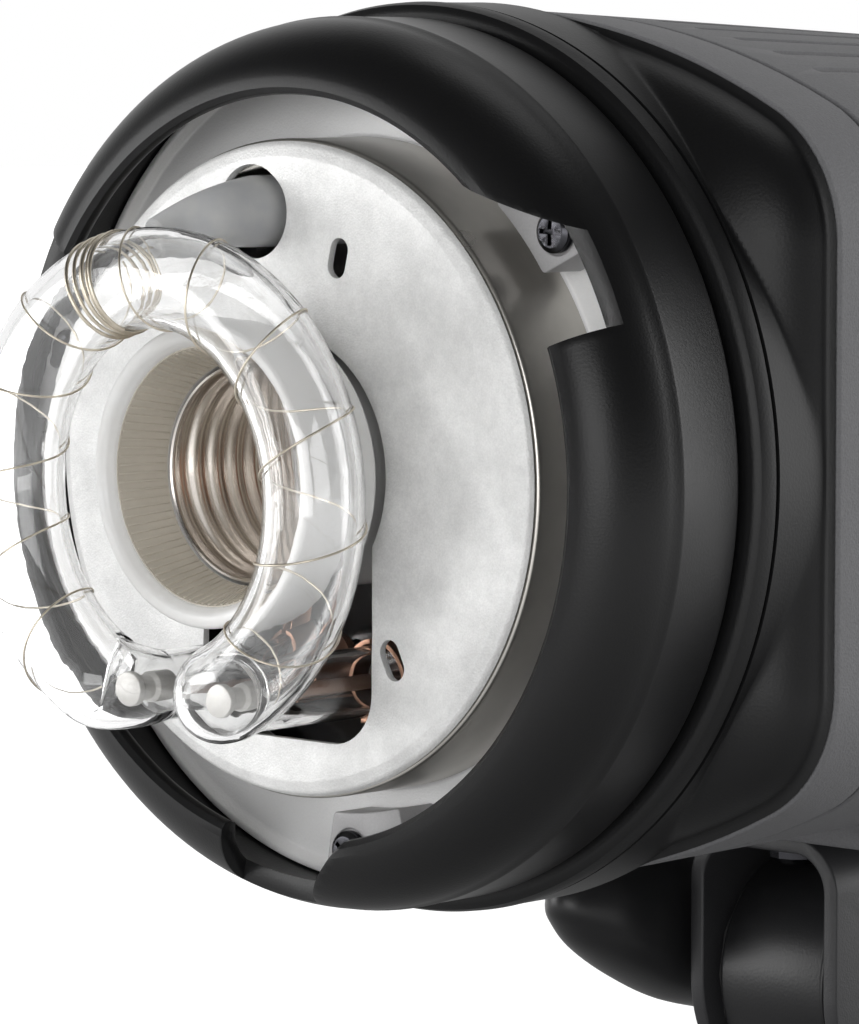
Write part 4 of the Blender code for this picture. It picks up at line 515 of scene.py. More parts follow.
GRAIN = grain_group()
HANDLING = handling_group()
SPUN = rings_group()


# Materials
def base_material(name, colour, roughness, metallic=0.0, **more):
    """A material with its tree, its shader and the coordinates of the object it is on."""
    material = bpy.data.materials.new(name)
    material.use_nodes = True
    tree = material.node_tree
    shader = tree.nodes["Principled BSDF"]
    feed(tree, shader, {"Base Color": (*colour, 1.0), "Roughness": roughness, "Metallic": metallic, **more})
    return material, tree, shader, add(tree, "ShaderNodeTexCoord")["Object"]


def bumped(tree, shader, height, strength, distance):
    bump = add(tree, "ShaderNodeBump", {"Strength": strength, "Distance": distance, "Height": height})
    feed(tree, shader, {"Normal": bump["Normal"]})


def worn(tree, shader, vector, roughness, spread):
    """Uneven gloss from handling; gives the dust on the surface."""
    inputs = {"Vector": vector, "Roughness": roughness, "Spread": spread}
    handling = add(tree, "ShaderNodeGroup", inputs, node_tree=HANDLING)
    feed(tree, shader, {"Roughness": handling["Roughness"]})
    return handling["Dust"]


def grained(tree, shader, vector, scale, depth, bump, distance=0.0001):
    """Fine grain in the surface; gives its value for the colour."""
    inputs = {"Vector": vector, "Scale": scale, "Depth": depth}
    grain = add(tree, "ShaderNodeGroup", inputs, node_tree=GRAIN)
    bumped(tree, shader, grain["Height"], bump, distance)
    return grain["Value"]


def tinted(tree, colour, factor, other):
    """The colour mixed towards another by a factor."""
    inputs = {"A": (*colour, 1.0), "B": (*other, 1.0), "Factor": factor}
    return add(tree, "ShaderNodeMix", inputs, data_type="RGBA")["Result"]


def shaded(tree, shader, colour, factor):
    """Gives the shader a colour made lighter or darker by a factor."""
    shade = add(tree, "ShaderNodeVectorMath", {0: colour, "Scale": factor}, operation="SCALE")
    feed(tree, shader, {"Base Color": shade[0]})


def moulded(name, colour, roughness, scale, depth, bump, spread=0.12, dust=0.3, gloss=0.4):
    """Moulded plastic or paint with a fine grain, uneven gloss and a trace of dust."""
    material, tree, shader, vector = base_material(name, colour, roughness, **{"Specular IOR Level": gloss})
    dusty = maths(tree, "MULTIPLY", worn(tree, shader, vector, roughness, spread), dust * 0.1)
    grain = grained(tree, shader, vector, scale, depth, bump)
    shaded(tree, shader, tinted(tree, colour, dusty, DUST), grain)
    return material


def blasted(name, colour, roughness, scale, depth, bump, metallic=1.0, clouded=0.0):
    """Sandblasted or tumbled metal."""
    material, tree, shader, vector = base_material(name, colour, roughness, metallic)
    worn(tree, shader, vector, roughness, 0.10)
    grain = grained(tree, shader, vector, scale, depth, bump)
    tone = ranged(tree, clouds(tree, vector, 110.0, 6.0, 0.65), 0.34, 0.66, 1 - clouded)
    shaded(tree, shader, colour, maths(tree, "MULTIPLY", grain, tone))
    return material


def spun(name, colour, roughness, scale, bump, metallic=1.0):
    """Spun or turned metal, with fine rings about the flash axis."""
    material, tree, shader, vector = base_material(name, colour, roughness, metallic)
    centred = add(tree, "ShaderNodeMapping", {"Vector": vector, "Location": -FLASH})
    rings = add(tree, "ShaderNodeGroup", {"Vector": centred[0], "Scale": scale}, node_tree=SPUN)
    worn(tree, shader, vector, roughness, 0.12)
    bumped(tree, shader, rings["Height"], bump, 0.00005)
    tone = ranged(tree, clouds(tree, vector, 120.0, 3.0), 0.3, 0.7)
    feed(tree, shader, {"Base Color": tinted(tree, colour, tone, [c * 0.86 for c in colour])})
    return material


def clear(name, colour, roughness, transmission, ior, scale, detail, bump, distance, tints=None):
    """Clear or cloudy matter with shallow marks, and a clouded colour where tints are given."""
    more = {"Transmission Weight": transmission, "IOR": ior}
    material, tree, shader, vector = base_material(name, colour, roughness, **more)
    marks = clouds(tree, vector, scale, detail)
    bumped(tree, shader, marks, bump, distance)
    if tints:
        feed(tree, shader, {"Base Color": tinted(tree, tints[0], ranged(tree, marks, 0.3, 0.7), tints[1])})
    return material


def fired(name, colour, roughness, other, scale):
    """Fired ceramic, with clouded colour and a pitted skin."""
    material, tree, shader, vector = base_material(name, colour, roughness)
    tone = ranged(tree, clouds(tree, vector, 90.0, 5.0, 0.6), 0.35, 0.7)
    feed(tree, shader, {"Base Color": tinted(tree, colour, tone, other)})
    grained(tree, shader, vector, scale, 0.05, 0.25, 0.00008)
    worn(tree, shader, vector, roughness, 0.15)
    return material


DUST = (0.5, 0.49, 0.47)
BLACK = moulded("black_moulding", (0.006, 0.006, 0.0064), 0.36, 2600.0, 0.25, 0.10, 0.12, 0.15, 0.30)
SHROUD_BLACK = moulded("shroud_moulding", (0.007, 0.007, 0.0075), 0.42, 2400.0, 0.3, 0.14, 0.12, 0.15, 0.27)
SOFT_BLACK = moulded("knob_moulding", (0.018, 0.018, 0.019), 0.36, 2000.0, 0.2, 0.06)
CASE = moulded("case_texture", (0.155, 0.155, 0.161), 0.62, 2900.0, 0.5, 0.55)
BLACK_PAINT = moulded("black_paint", (0.030, 0.030, 0.032), 0.42, 3200.0, 0.25, 0.18)
CAST_PAINT = moulded("cast_paint", (0.012, 0.012, 0.013), 0.34, 2400.0, 0.2, 0.10)
KEY_GREY = moulded("key_grey", (0.235, 0.235, 0.24), 0.5, 3000.0, 0.25, 0.15)
TAB_GREY = moulded("tab_grey", (0.40, 0.395, 0.40), 0.42, 3000.0, 0.25, 0.12)
BLASTED = blasted("blasted_aluminium", (0.95, 0.95, 0.94), 0.48, 3400.0, 0.30, 0.42, 0.20, 0.20)
# The channel floor's aluminium is the plate's blasted aluminium made lighter, less grained and unclouded.
# This is painted light, so the floor deep in the ring's channel reads white.
FLANGE_METAL_PAINTED_LIGHT = blasted("flange_aluminium_painted_light", (0.97, 0.97, 0.97), 0.50, 3400.0, 0.08, 0.30, 0.15)
BRIGHT_WALL = spun("spun_wall", (0.60, 0.58, 0.54), 0.30, 1500.0, 0.06, 0.85)
SHELL_STEEL = spun("thread_steel", (0.78, 0.73, 0.68), 0.24, 2200.0, 0.1)
BRIGHT_STEEL = blasted("plated_steel", (0.62, 0.62, 0.63), 0.24, 1200.0, 0.10, 0.05)
BLACK_STEEL = blasted("black_oxide", (0.045, 0.045, 0.05), 0.26, 1600.0, 0.2, 0.06)
COPPER = blasted("bare_copper", (0.46, 0.27, 0.19), 0.42, 900.0, 0.25, 0.08)
ELECTRODE = blasted("electrode_metal", (0.52, 0.51, 0.49), 0.45, 1800.0, 0.25, 0.15, 0.5)
LEAD_BROWN = moulded("lead_brown", (0.20, 0.13, 0.10), 0.4, 2000.0, 0.3, 0.1)
WIRE_METAL = blasted("wire_metal", (0.66, 0.60, 0.50), 0.34, 2400.0, 0.2, 0.05)
CERAMIC = fired("white_ceramic", (0.86, 0.86, 0.85), 0.30, (0.82, 0.81, 0.79), 1500.0)
CERAMIC_INSIDE = fired("bare_ceramic", (0.58, 0.535, 0.46), 0.55, (0.49, 0.45, 0.38), 2200.0)
QUARTZ = clear("quartz", (1.0, 1.0, 1.0), 0.0, 1.0, 1.458, 160.0, 2.0, 0.25, 0.0003)
SILICONE = clear(
    "silicone", (0.84, 0.84, 0.85), 0.42, 0.45, 1.41, 260.0, 3.0, 0.1, 0.0002,
    ((0.74, 0.74, 0.73), (0.62, 0.63, 0.65)))
FRICTION = moulded("friction_fibre", (0.030, 0.030, 0.030), 0.8, 900.0, 0.5, 0.5)
BOARD = moulded("board_mask", (0.03, 0.15, 0.06), 0.35, 500.0, 0.3, 0.1)
SLEEVE_BLUE = moulded("capacitor_sleeve", (0.025, 0.028, 0.055), 0.25, 700.0, 0.2, 0.1)
MARK_WHITE = moulded("mark_paint", (0.70, 0.70, 0.69), 0.5, 3000.0, 0.1, 0.05)
WINDOW = moulded("smoked_window", (0.010, 0.010, 0.012), 0.06, 300.0, 0.1, 0.01, 0.03)


# Geometry nodes
def repeat_tree():
    """Copies of an object set evenly about the flash axis or along a line, as one plain mesh."""
    tree, given, end = group_tree("set_out", {
        "Geometry": "Geometry", "Pattern": "Object", "Count": "Int", "Turn": "Float", "Step": "Vector",
        "Finish": "Material",
    }, {"Geometry": "Geometry"}, "Geometry")
    line = add(tree, "GeometryNodeMeshLine", {"Count": given["Count"], "Offset": given["Step"]})
    pattern = add(tree, "GeometryNodeObjectInfo", {"Object": given["Pattern"]})["Geometry"]
    angle = maths(tree, "MULTIPLY", add(tree, "GeometryNodeInputIndex")[0], given["Turn"])
    spin = add(tree, "ShaderNodeCombineXYZ", {"Y": angle})[0]
    inputs = {"Points": line["Mesh"], "Instance": pattern, "Rotation": spin}
    copies = add(tree, "GeometryNodeInstanceOnPoints", inputs)
    real = add(tree, "GeometryNodeRealizeInstances", {0: copies[0]})
    finish = add(tree, "GeometryNodeSetMaterial", {"Geometry": real[0], "Material": given["Finish"]})
    feed(tree, end, {0: finish[0]})
    return tree


SET_OUT = repeat_tree()


def copies_of(pattern, count, material, turn=0.0, step=(0, 0, 0)):
    """Evenly repeated copies of a pattern object: turned about the flash axis, stepped, or both."""
    base = place(bpy.data.meshes.new("seat"))
    modifier = base.modifiers.new("set_out", "NODES")
    modifier.node_group = SET_OUT
    values = {"Pattern": pattern, "Count": count, "Turn": rad(turn), "Step": step, "Finish": material}
    for item in SET_OUT.interface.items_tree:
        if item.name in values:
            modifier[item.identifier] = values[item.name]
    made = settled(base)
    bpy.data.objects.remove(pattern)
    return made


# The case's section
def case_size(y):
    """Half width, depth, height and curvature of the case at a place along it."""
    share = (y - SHROUD_BACK_Y) / (CASE_BACK_Y - SHROUD_BACK_Y)
    return [a + (b - a) * share for a, b in zip(CASE_FRONT, CASE_BACK)]


def pad_bottom():
    return -case_size(PAD_Y)[1] - PAD_STAND


def crown_corner(half_width, top, crown):
    """Centre of a corner that runs into the crown, and the angle at which the two meet."""
    across = half_width - CASE_CORNER
    rise = math.sqrt((crown - CASE_CORNER) ** 2 - across ** 2)
    return across, top - crown + rise, math.degrees(math.atan2(rise, across))


def crowned_half(half_width, top, crown, inset):
    """The upper half of a section: a corner, the crowned side and the other corner."""
    centre_x, centre_z, meeting = crown_corner(half_width, top, crown)
    corner = [(centre_x + x, centre_z + z) for x, z in arc(CASE_CORNER - inset, 0, meeting, 14)]
    side = [(x, top - crown + z) for x, z in arc(crown - inset, meeting, 180 - meeting, 24)[1:-1]]
    return corner + side + mirrored(corner)


def case_section(y, inset=0.0):
    """Points of the case's crowned section at a place along it, drawn in by inset."""
    half_width, low, top, curve = case_size(y)
    upper = crowned_half(half_width, top, 1 / curve, inset)
    lower = [(x, -z) for x, z in reversed(crowned_half(half_width, low, 1 / curve, inset))]
    return [(x, y, z) for x, z in upper + lower]


def reach_of_outline(angle, inset):
    """How far the case's front outline, drawn in by inset, lies from the flash axis at an angle."""
    across, up = abs(math.cos(angle)), abs(math.sin(angle))
    half_width, low, high, curve = CASE_FRONT
    top, crown = (high if math.sin(angle) > 0 else low), 1 / curve
    centre_x, centre_z, meeting = crown_corner(half_width, top, crown)
    if (half_width - inset) * up <= centre_z * across:
        return (half_width - inset) / across
    below = crown - top
    reach = math.sqrt((up * below) ** 2 - below ** 2 + (crown - inset) ** 2) - up * below
    if math.degrees(math.atan2(reach * up + below, reach * across)) >= meeting:
        return reach
    along = across * centre_x + up * centre_z
    return along + math.sqrt(along ** 2 - centre_x ** 2 - centre_z ** 2 + (CASE_CORNER - inset) ** 2)


# Camera, light and floor
def stood(name, data, location, aim):
    """Puts a camera or lamp in the scene, looking along aim."""
    obj = bpy.data.objects.new(name, data)
    obj.location = location
    obj.rotation_mode = "QUATERNION"
    obj.rotation_quaternion = aim.to_track_quat("-Z", "Y")
    bpy.context.scene.collection.objects.link(obj)
    return obj


def make_camera():
    azimuth, elevation = rad(VIEW_AZIMUTH), rad(VIEW_ELEVATION)
    level = math.cos(elevation)
    back = Vector((math.sin(azimuth) * level, -math.cos(azimuth) * level, math.sin(elevation)))
    right = Vector((math.cos(azimuth), math.sin(azimuth), 0))
    location = FLASH + back * VIEW_DISTANCE + right * VIEW_ACROSS + back.cross(right) * VIEW_UP
    data = bpy.data.cameras.new("camera")
    data.sensor_width = SENSOR
    data.lens = FOCAL_PIXELS / PICTURE_HEIGHT * SENSOR
    data.clip_start, data.clip_end = 0.05, 30.0
    bpy.context.scene.camera = stood("camera", data, location, -back)


def light_paths(tree):
    """Whether the camera or glass looks, and whether gloss does."""
    path = add(tree, "ShaderNodeLightPath")
    seen = maths(tree, "MAXIMUM", path["Is Camera Ray"], path["Is Transmission Ray"])
    return seen, path["Is Glossy Ray"]


def make_world():
    """White where the camera and glass look; gloss sees a dark camera side; the rest is soft grey."""
    world = bpy.data.worlds.new("surround")
    bpy.context.scene.world = world
    world.use_nodes = True
    tree = world.node_tree
    seen, shiny = light_paths(tree)
    where = add(tree, "ShaderNodeTexCoord")["Generated"]
    toward = add(tree, "ShaderNodeVectorMath", {0: where, 1: DARK_SIDE}, operation="DOT_PRODUCT")["Value"]
    gloss = ranged(tree, toward, -0.90, -0.35, 0.90, 0.04, interpolation_type="SMOOTHSTEP")
    even = ranged(tree, toward, -0.4, 0.8, 0.55, 0.34)
    glossy = maths(tree, "MULTIPLY", shiny, gloss)
    soft = maths(tree, "MULTIPLY", maths(tree, "SUBTRACT", 1.0, shiny), even)
    strength = maths(tree, "MAXIMUM", maths(tree, "ADD", glossy, soft), seen)
    feed(tree, tree.nodes["Background"], {"Color": (1, 1, 1, 1), "Strength": strength})


def make_floor():
    """A pale floor that keeps the shadow and turns to plain white further out."""
    floor = box((12.0, 12.0, 0.002), (0, 0, -0.0022))
    floor.name = "floor"
    material, tree, shader, where = base_material("floor", (0.45, 0.45, 0.45), 0.9)
    seen, shiny = light_paths(tree)
    away = add(tree, "ShaderNodeVectorMath", {0: where}, operation="LENGTH")["Value"]
    direct = maths(tree, "MULTIPLY", seen, ranged(tree, away, 0.25, 1.0, 0.74))
    glossy = maths(tree, "MULTIPLY", shiny, ranged(tree, away, 0.12, 0.60, 0.05, 0.90))
    feed(tree, shader, {
        "Specular IOR Level": 0.1, "Emission Color": (1, 1, 1, 1),
        "Emission Strength": maths(tree, "ADD", direct, glossy),
    })
    floor.data.materials.append(material)


bpy.context.scene.view_settings.view_transform = "Standard"
make_camera()
make_world()
make_floor()
for name, spot, size, power in (
    ("key", (-1.23, -1.15, 0.20), (0.9, 0.9), 13.0), ("front", (0.55, -1.45, 0.13), (1.0, 1.0), 12.5),
    ("right", (1.05, 1.05, 0.30), (0.8, 1.2), 12.0), ("top", (-0.1, 0.5, 1.9), (1.2, 0.8), 4.0),
):
    lamp = bpy.data.lights.new(name, "AREA")
    lamp.shape = "RECTANGLE"
    lamp.size, lamp.size_y = size
    lamp.energy = power
    stood(name, lamp, spot, FLASH - Vector(spot))


# Accessory ring and its screws
def notch_outline(edge, past_lip, past_wall):
    """One claw notch: a radial edge and a slanted edge, drawn past the lip and the wall."""
    inner = Vector(polar(LIP_RADIUS, edge + past_lip))
    outer = Vector(polar(RING_RADIUS, edge + past_wall))
    over = (outer - inner).normalized() * NOTCH_OVERSHOOT
    near, far = polar(LIP_RADIUS - NOTCH_OVERSHOOT, edge), polar(RING_RADIUS + NOTCH_OVERSHOOT, edge)
    return [near, far, tuple(outer + over), tuple(inner - over)]


def ring_nose(wall_radius, front_y, start, end, steps):
    """The domed nose's section, from the lip round to a wall."""
    width, depth = wall_radius - LIP_RADIUS, RING_SHOULDER_Y - front_y
    nose = arc(1.0, start, end, steps)
    return [(LIP_RADIUS + width * up, RING_SHOULDER_Y - depth * ahead) for ahead, up in nose]


def make_ring():
    """The ring turned as one section, its notches cut, its edges rounded."""
    edge, channel, back = 0.0006, RING_RADIUS - RING_WALL, RING_BACK_Y
    profile = [(LIP_RADIUS - 0.0001, 0.0016), (LIP_RADIUS + 0.0001, 0.0006), (LIP_RADIUS + 0.0009, 0.0001)]
    profile += ring_nose(RING_RADIUS - 0.00012, 0.0, 12, 80, 22)
    profile += [(RING_RADIUS + out, RING_SHOULDER_Y + along) for out, along in SHOULDER_BEAD]
    profile += [
        (RING_RADIUS, back - edge), (RING_RADIUS - edge * 0.3, back - edge * 0.3), (RING_RADIUS - edge, back),
        (RING_BORE_RADIUS, back), (RING_BORE_RADIUS, RING_FLOOR_Y), (channel - 0.001, RING_FLOOR_Y),
        (channel - 0.0003, RING_FLOOR_Y - 0.0003), (channel, RING_FLOOR_Y - 0.001),
    ]
    profile += ring_nose(channel, RING_WALL * 0.95, 88, 2, 12)
    ring = turned(profile, FINE, closed=True)
    middle = (0, (NOTCH_DEPTH - 0.001) / 2, 0)
    ring = cut(ring, *[sheet(notch_outline(*notch), NOTCH_DEPTH + 0.001, spot=middle) for notch in NOTCHES])
    ring.data.materials.clear()
    dress(eased(ring, 0.00022, 2, 40), "ring", BLACK, "mount_ring")


def make_tabs():
    """One tab and one screw made whole; the rest are set out about the axis."""
    seat = CAN_FLANGE_Y - 0.0003
    front = seat - TAB_THICKNESS
    outline = arc(TAB_INNER_RADIUS, TAB_END, TAB_START, 8)
    outline += arc(TAB_OUTER_RADIUS, TAB_START - TAB_LEAN, TAB_END, 8)
    tab = sheet(rounded(outline, 0.0009, 4, True), TAB_THICKNESS, spot=(0, seat - TAB_THICKNESS / 2, 0))
    hole_x, hole_z = polar(SCREW_RADIUS, SCREW_PAST_EDGE)
    well = disc(0.0031, -0.0006, 0.0006, 40, spot=(hole_x, front, hole_z))
    tab = eased(cut(tab, well), 0.00022, 3)
    under = front + 0.0004
    crown = under - 0.0018
    head = turned(rounded([
        (0, under + 0.004), (0.0014, under + 0.004), (0.0014, under), (0.0028, under),
        (0.0028, crown + 0.0006), (0.0021, crown + 0.0001), (0, crown),
    ], 0.0003), 48)
    recess = [turn_piece(box((0.0036, 0.0018, 0.00062), (0, crown, 0)), spin) for spin in (24, 114)]
    screw = shift(eased(cut(head, *recess), 0.00008, 2, 40), (hole_x, 0, hole_z))
    for i, (edge, _, _) in enumerate(NOTCHES, 1):
        for pattern, name, material, slot in (
            (tab, "ring_tab", TAB_GREY, "grey_plastic"), (screw, "tab_screw", BLACK_STEEL, "black_steel"),
        ):
            copy = turn_piece(place(pattern.data.copy()), -edge)
            dress(copy, f"{name}_{i}_fine", material, f"{name}_{i}")
    for pattern in (tab, screw):
        bpy.data.objects.remove(pattern)


# Can and plate
def make_can():
    """Drawn can: a smooth wall and a blasted annular floor with a raised rim."""
    front, inner = PLATE_Y + SHEET + 0.0003, CAN_RADIUS - SHEET
    floor, bead, rim = CAN_FLANGE_Y, CAN_FLANGE_Y - 0.0014, CAN_FLANGE_RADIUS
    wall = turned(rounded([
        (CAN_RADIUS - 0.0036, front), (CAN_RADIUS, front), (CAN_RADIUS, floor), (rim - 0.0018, floor),
        (rim - 0.0010, bead), (rim, bead), (rim, floor + SHEET), (inner, floor + SHEET),
        (inner, front + SHEET), (CAN_RADIUS - 0.0036, front + SHEET),
    ], 0.0006, 5, True), FINE, closed=True)
    wall.data.materials.append(BRIGHT_WALL)
    # The floor and its rim take the lighter aluminium, which is painted light on the channel floor.
    wall.data.materials.append(FLANGE_METAL_PAINTED_LIGHT)
    for face in wall.data.polygons:
        outer = face.center.xz.length > CAN_RADIUS + 0.004
        face.material_index = int(face.center.y > floor - 0.0004 or outer)
    dress(wall, "can", BRIGHT_WALL, "reflector_can")


def keyhole():
    """The opening for lamp and tube: a round hole that runs down into a broad slot."""
    half, corner = LEG_OPENING_HALF_WIDTH, LEG_OPENING_CORNER
    entry = math.degrees(math.asin(half / CORE_HOLE_RADIUS))
    points = arc(CORE_HOLE_RADIUS, -90 + entry, 270 - entry, 72)
    for side, start in ((-1, 180), (1, 270)):
        for x, z in arc(corner, start, start + 90, 10):
            points.append((side * (half - corner) + x, LEG_OPENING_BOTTOM + corner + z))
    return points


def make_plate():
    """Blasted plate: a rolled rim, a shallow embossed ring and rounded hole edges."""
    rim, edge, back = 0.0021, PLATE_RADIUS, PLATE_Y + SHEET
    face, roll = PLATE_Y - 0.00012, PLATE_Y - 0.0004
    plate = turned(rounded([
        (0, PLATE_Y), (CORE_HOLE_RADIUS + 0.0080, PLATE_Y), (CORE_HOLE_RADIUS + 0.0110, face),
        (edge - 3 * rim, face), (edge - 2.2 * rim, roll), (edge - 1.0 * rim, roll),
        (edge - 0.25 * rim, PLATE_Y + 0.00015), (edge, PLATE_Y + 0.0009), (edge - 0.0003, back),
        (edge - 3 * rim, back), (0, back),
    ], 0.0012, 6), FINE)
    holes = [keyhole(), circle(SLEEVE_HOLE_RADIUS, 64, (SLEEVE_HOLE_X, SLEEVE_HOLE_Z))]
    for x, z, half_width, half_height, lean in HAND_SLOTS:
        cos, sin = polar(1.0, lean)
        slot = rounded_rectangle(half_width, half_height, half_width * 0.98, 8)
        holes.append([(x + a * cos - b * sin, z + a * sin + b * cos) for a, b in slot])
    plate = cut(plate, *[sheet(hole, 0.006) for hole in holes])
    dress(eased(plate, 0.0003, 3, 50), "plate", BLASTED, "reflector_plate")


# Flash tube and trigger lead
def ring_point(angle, out=0.0, back=0.0):
    z, x = polar(TUBE_RING_RADIUS + out, angle)
    return Vector((x, TUBE_Y + back, TUBE_Z + z))


def tube_path():
    """Centre line of the tube and its radius at each point, leg end to leg end."""
    half = [ring_point(TUBE_END_ANGLE * i / 60) for i in range(61)]
    radii = [TUBE_RADIUS] * 61
    end, (fall, across) = half[-1], polar(1.0, TUBE_END_ANGLE)
    along = Vector((fall, 0, -across))
    for i in range(1, 17):
        angle = rad(90 * i / 16)
        rise = Vector((0, LEG_BEND * (1 - math.cos(angle)), 0))
        half.append(end + along * LEG_BEND * math.sin(angle) * 0.4 + rise)
        radii.append(TUBE_RADIUS + (LEG_RADIUS - TUBE_RADIUS) * (i / 16) ** 1.5)
    x, y, z = half[-1]
    for i in range(1, 13):
        half.append(Vector((x, y + (LEG_END_Y - y) * i / 12, z)))
        radii.append(LEG_RADIUS)
    return mirrored(half[1:]) + half, radii[:0:-1] + radii


def make_tube():
    """The quartz tube: an outer and an inner wall, closed at the leg ends."""
    points, radii = tube_path()
    outside = tube(points, radii, 48)
    inside = tube(points[3:-3], [radius - TUBE_WALL for radius in radii[3:-3]], 40)
    bm = opened(inside)
    bmesh.ops.reverse_faces(bm, faces=bm.faces)
    bm.to_mesh(inside.data)
    bm.free()
    dress(gathered(outside, inside), "quartz_tube", QUARTZ, "flash_tube", sharp=60)
    leg = points[-1]
    for number, side in ((1, -1), (2, 1)):
        make_electrode(number, side * leg.x, leg.z)
        make_clip(number, side * leg.x, leg.z)


def make_electrode(number, x, z):
    """Grey sintered electrode with a disc face, a collar and the brown-sealed lead behind it."""
    front, tail = ELECTRODE_Y, LEG_END_Y + 0.0012
    profile = [(radius, front + back) for radius, back in ELECTRODE_PROFILE]
    body = shift(turned(rounded(profile, 0.0002), 40), (x, 0, z))
    profile = [(0, tail), (0.0010, tail), (0.0010, front + 0.008), (0, front + 0.008)]
    seal = shift(turned(rounded(profile, 0.0001), 24), (x, 0, z))
    dress(body, f"electrode_head_{number}", ELECTRODE, f"electrode_{number}")
    dress(seal, f"electrode_lead_{number}", LEAD_BROWN)


def make_clip(number, x, z):
    """Copper contact strip: a split collar round the leg and a foot back to the carrier."""
    inner, wall, front, back = LEG_RADIUS + 0.0003, 0.0006, 0.0085, 0.0165
    middle, outer = (front + back) / 2, inner + wall
    collar = turned([(inner, front), (outer, front), (outer, back), (inner, back)], 64, closed=True)
    collar = cut(collar, box((0.0016, 0.02, 0.004), (0, middle, inner + wall / 2)))
    foot = box((0.0052, RING_BACK_Y - front, 0.0008), (0, (RING_BACK_Y + front) / 2, -inner - wall), 0.0002)
    ears = [box((0.0005, 0.006, 0.0034), (side * 0.00105, middle, inner + 0.0018)) for side in (-1, 1)]
    clip = shift(eased(joined(collar, foot, *ears), 0.00012, 2), (x, 0, z))
    dress(clip, f"contact_strip_{number}", COPPER, f"tube_clip_{number}")


def make_sleeve():
    """Translucent sleeve that tapers towards the tube, with a dark bore at its tip."""
    root, tip = Vector((SLEEVE_HOLE_X, PLATE_Y, SLEEVE_HOLE_Z)), Vector(SLEEVE_TIP)
    stations = [Vector((SLEEVE_HOLE_X, 0.018, SLEEVE_HOLE_Z)), root + Vector((0, 0.003, 0)), root]
    path = [a.lerp(b, i / 6) for a, b in zip(stations, stations[1:]) for i in range(6)]
    radii = [SLEEVE_ROOT_RADIUS] * len(path)
    for t in (i / 20 for i in range(21)):
        path.append(root.lerp(tip, t) + Vector((0, 0, 0.0006 * math.sin(math.pi * t))))
        radii.append(SLEEVE_ROOT_RADIUS + (SLEEVE_TIP_RADIUS - SLEEVE_ROOT_RADIUS) * t ** 1.15)
    ahead = (path[-1] - path[-2]).normalized()
    path += [path[-1] + ahead * 0.0003, path[-1] + ahead * 0.0003, path[-1] - ahead * 0.004]
    radii += [SLEEVE_TIP_RADIUS * share for share in (0.85, 0.5, 0.4)]
    dress(tube(path, radii, 48), "lead_sleeve", SILICONE, "trigger_sleeve")


def winding(start, end, turns, turn_start, way, waver=0.0):
    """Centre line of the wire wound round the tube, its turns slightly uneven."""
    reach, count, points = TUBE_RADIUS + WIRE_RADIUS * 1.05, int(turns * 48), []
    for share in (i / count for i in range(count + 1)):
        drift = waver * noise.noise(Vector((turns * share * 1.7, start * 0.1, 3.0)))
        out, back = polar(reach, turn_start + way * 360 * turns * share)
        points.append(ring_point(start + (end - start) * share + drift, out, back))
    return points


def make_wires():
    """The trigger wire: out of the sleeve, lashed, then wound thinly round both halves of the ring."""
    tip = Vector(SLEEVE_TIP)
    ahead = (tip - Vector((SLEEVE_HOLE_X, PLATE_Y, SLEEVE_HOLE_Z))).normalized()
    past = LASHING_ANGLE + math.degrees(LASHING_TURNS * LASHING_PITCH / TUBE_RING_RADIUS)
    lashing = winding(LASHING_ANGLE, past, LASHING_TURNS, 50, -1)
    lead = [(tip + ahead * 0.0014 * t).lerp(lashing[0], t ** 2) for t in (i / 8 for i in range(8))]
    right = lead + lashing + winding(past, WIRE_END_ANGLE, WIRE_TURNS_RIGHT, 50, -1, 2.4)[1:]
    left = winding(LASHING_ANGLE - 2.5, -WIRE_END_ANGLE, WIRE_TURNS_LEFT, 50, 1, 2.4)
    bundle = winding(LASHING_ANGLE - 3.0, past + 0.5, LASHING_TURNS + 0.5, 20, -1)
    for path, radius, sides, name, node in (
        (right, WIRE_RADIUS, 8, "winding_right", "trigger_wire_right"),
        (left, WIRE_RADIUS, 8, "winding_left", "trigger_wire_left"),
        (bundle, WIRE_RADIUS * 1.7, 10, "lashing", None),
    ):
        dress(tube(path, radius, sides), name, WIRE_METAL, node, sharp=80)


# Lamp holder
def make_holder():
    """White ceramic body; its bare funnel and the ribs in it are separate skins just inside."""
    mouth, rim, waist = HOLDER_MOUTH_RADIUS + 0.0008, HOLDER_RIM_Y, HOLDER_WAIST_RADIUS
    body = turned(rounded([
        (0, HOLDER_BACK_Y + 0.008), (0.008, HOLDER_BACK_Y + 0.008), (0.008, HOLDER_BACK_Y),
        (waist, HOLDER_BACK_Y), (waist, HOLDER_WAIST_Y + 0.003), (HOLDER_RIM_RADIUS, HOLDER_WAIST_Y - 0.001),
        (HOLDER_RIM_RADIUS, rim), (mouth, rim), (mouth - 0.0008, rim + 0.0012),
        (HOLDER_BORE_RADIUS, HOLDER_BORE_Y), (HOLDER_BORE_RADIUS, HOLDER_FLOOR_Y), (0, HOLDER_FLOOR_Y),
    ], 0.0012, 6), FINE)
    dress(body, "holder", CERAMIC, "lamp_holder")
    near = (HOLDER_MOUTH_RADIUS - 0.0003, HOLDER_RIM_Y + 0.0016)
    far = (HOLDER_BORE_RADIUS - 0.0001, HOLDER_BORE_Y - 0.0001)
    skin_back = [(far[0] + 0.0001, far[1] + 0.0001), (near[0] + 0.0003, near[1])]
    funnel = turned([near, far] + skin_back, FINE, closed=True)
    fall, run = near[0] - far[0], far[1] - near[1]
    rib = box((0.00034, math.hypot(fall, run) * 0.94, 0.00034), (0, 0, 0), 0.0001, 2)
    turn_piece(rib, -math.degrees(math.atan2(fall, run)), "X")
    shift(rib, (0, (near[1] + far[1]) / 2, (near[0] + far[0]) / 2))
    inside = gathered(funnel, copies_of(rib, 90, CERAMIC_INSIDE, 4.0))
    dress(inside, "holder_funnel", CERAMIC_INSIDE)


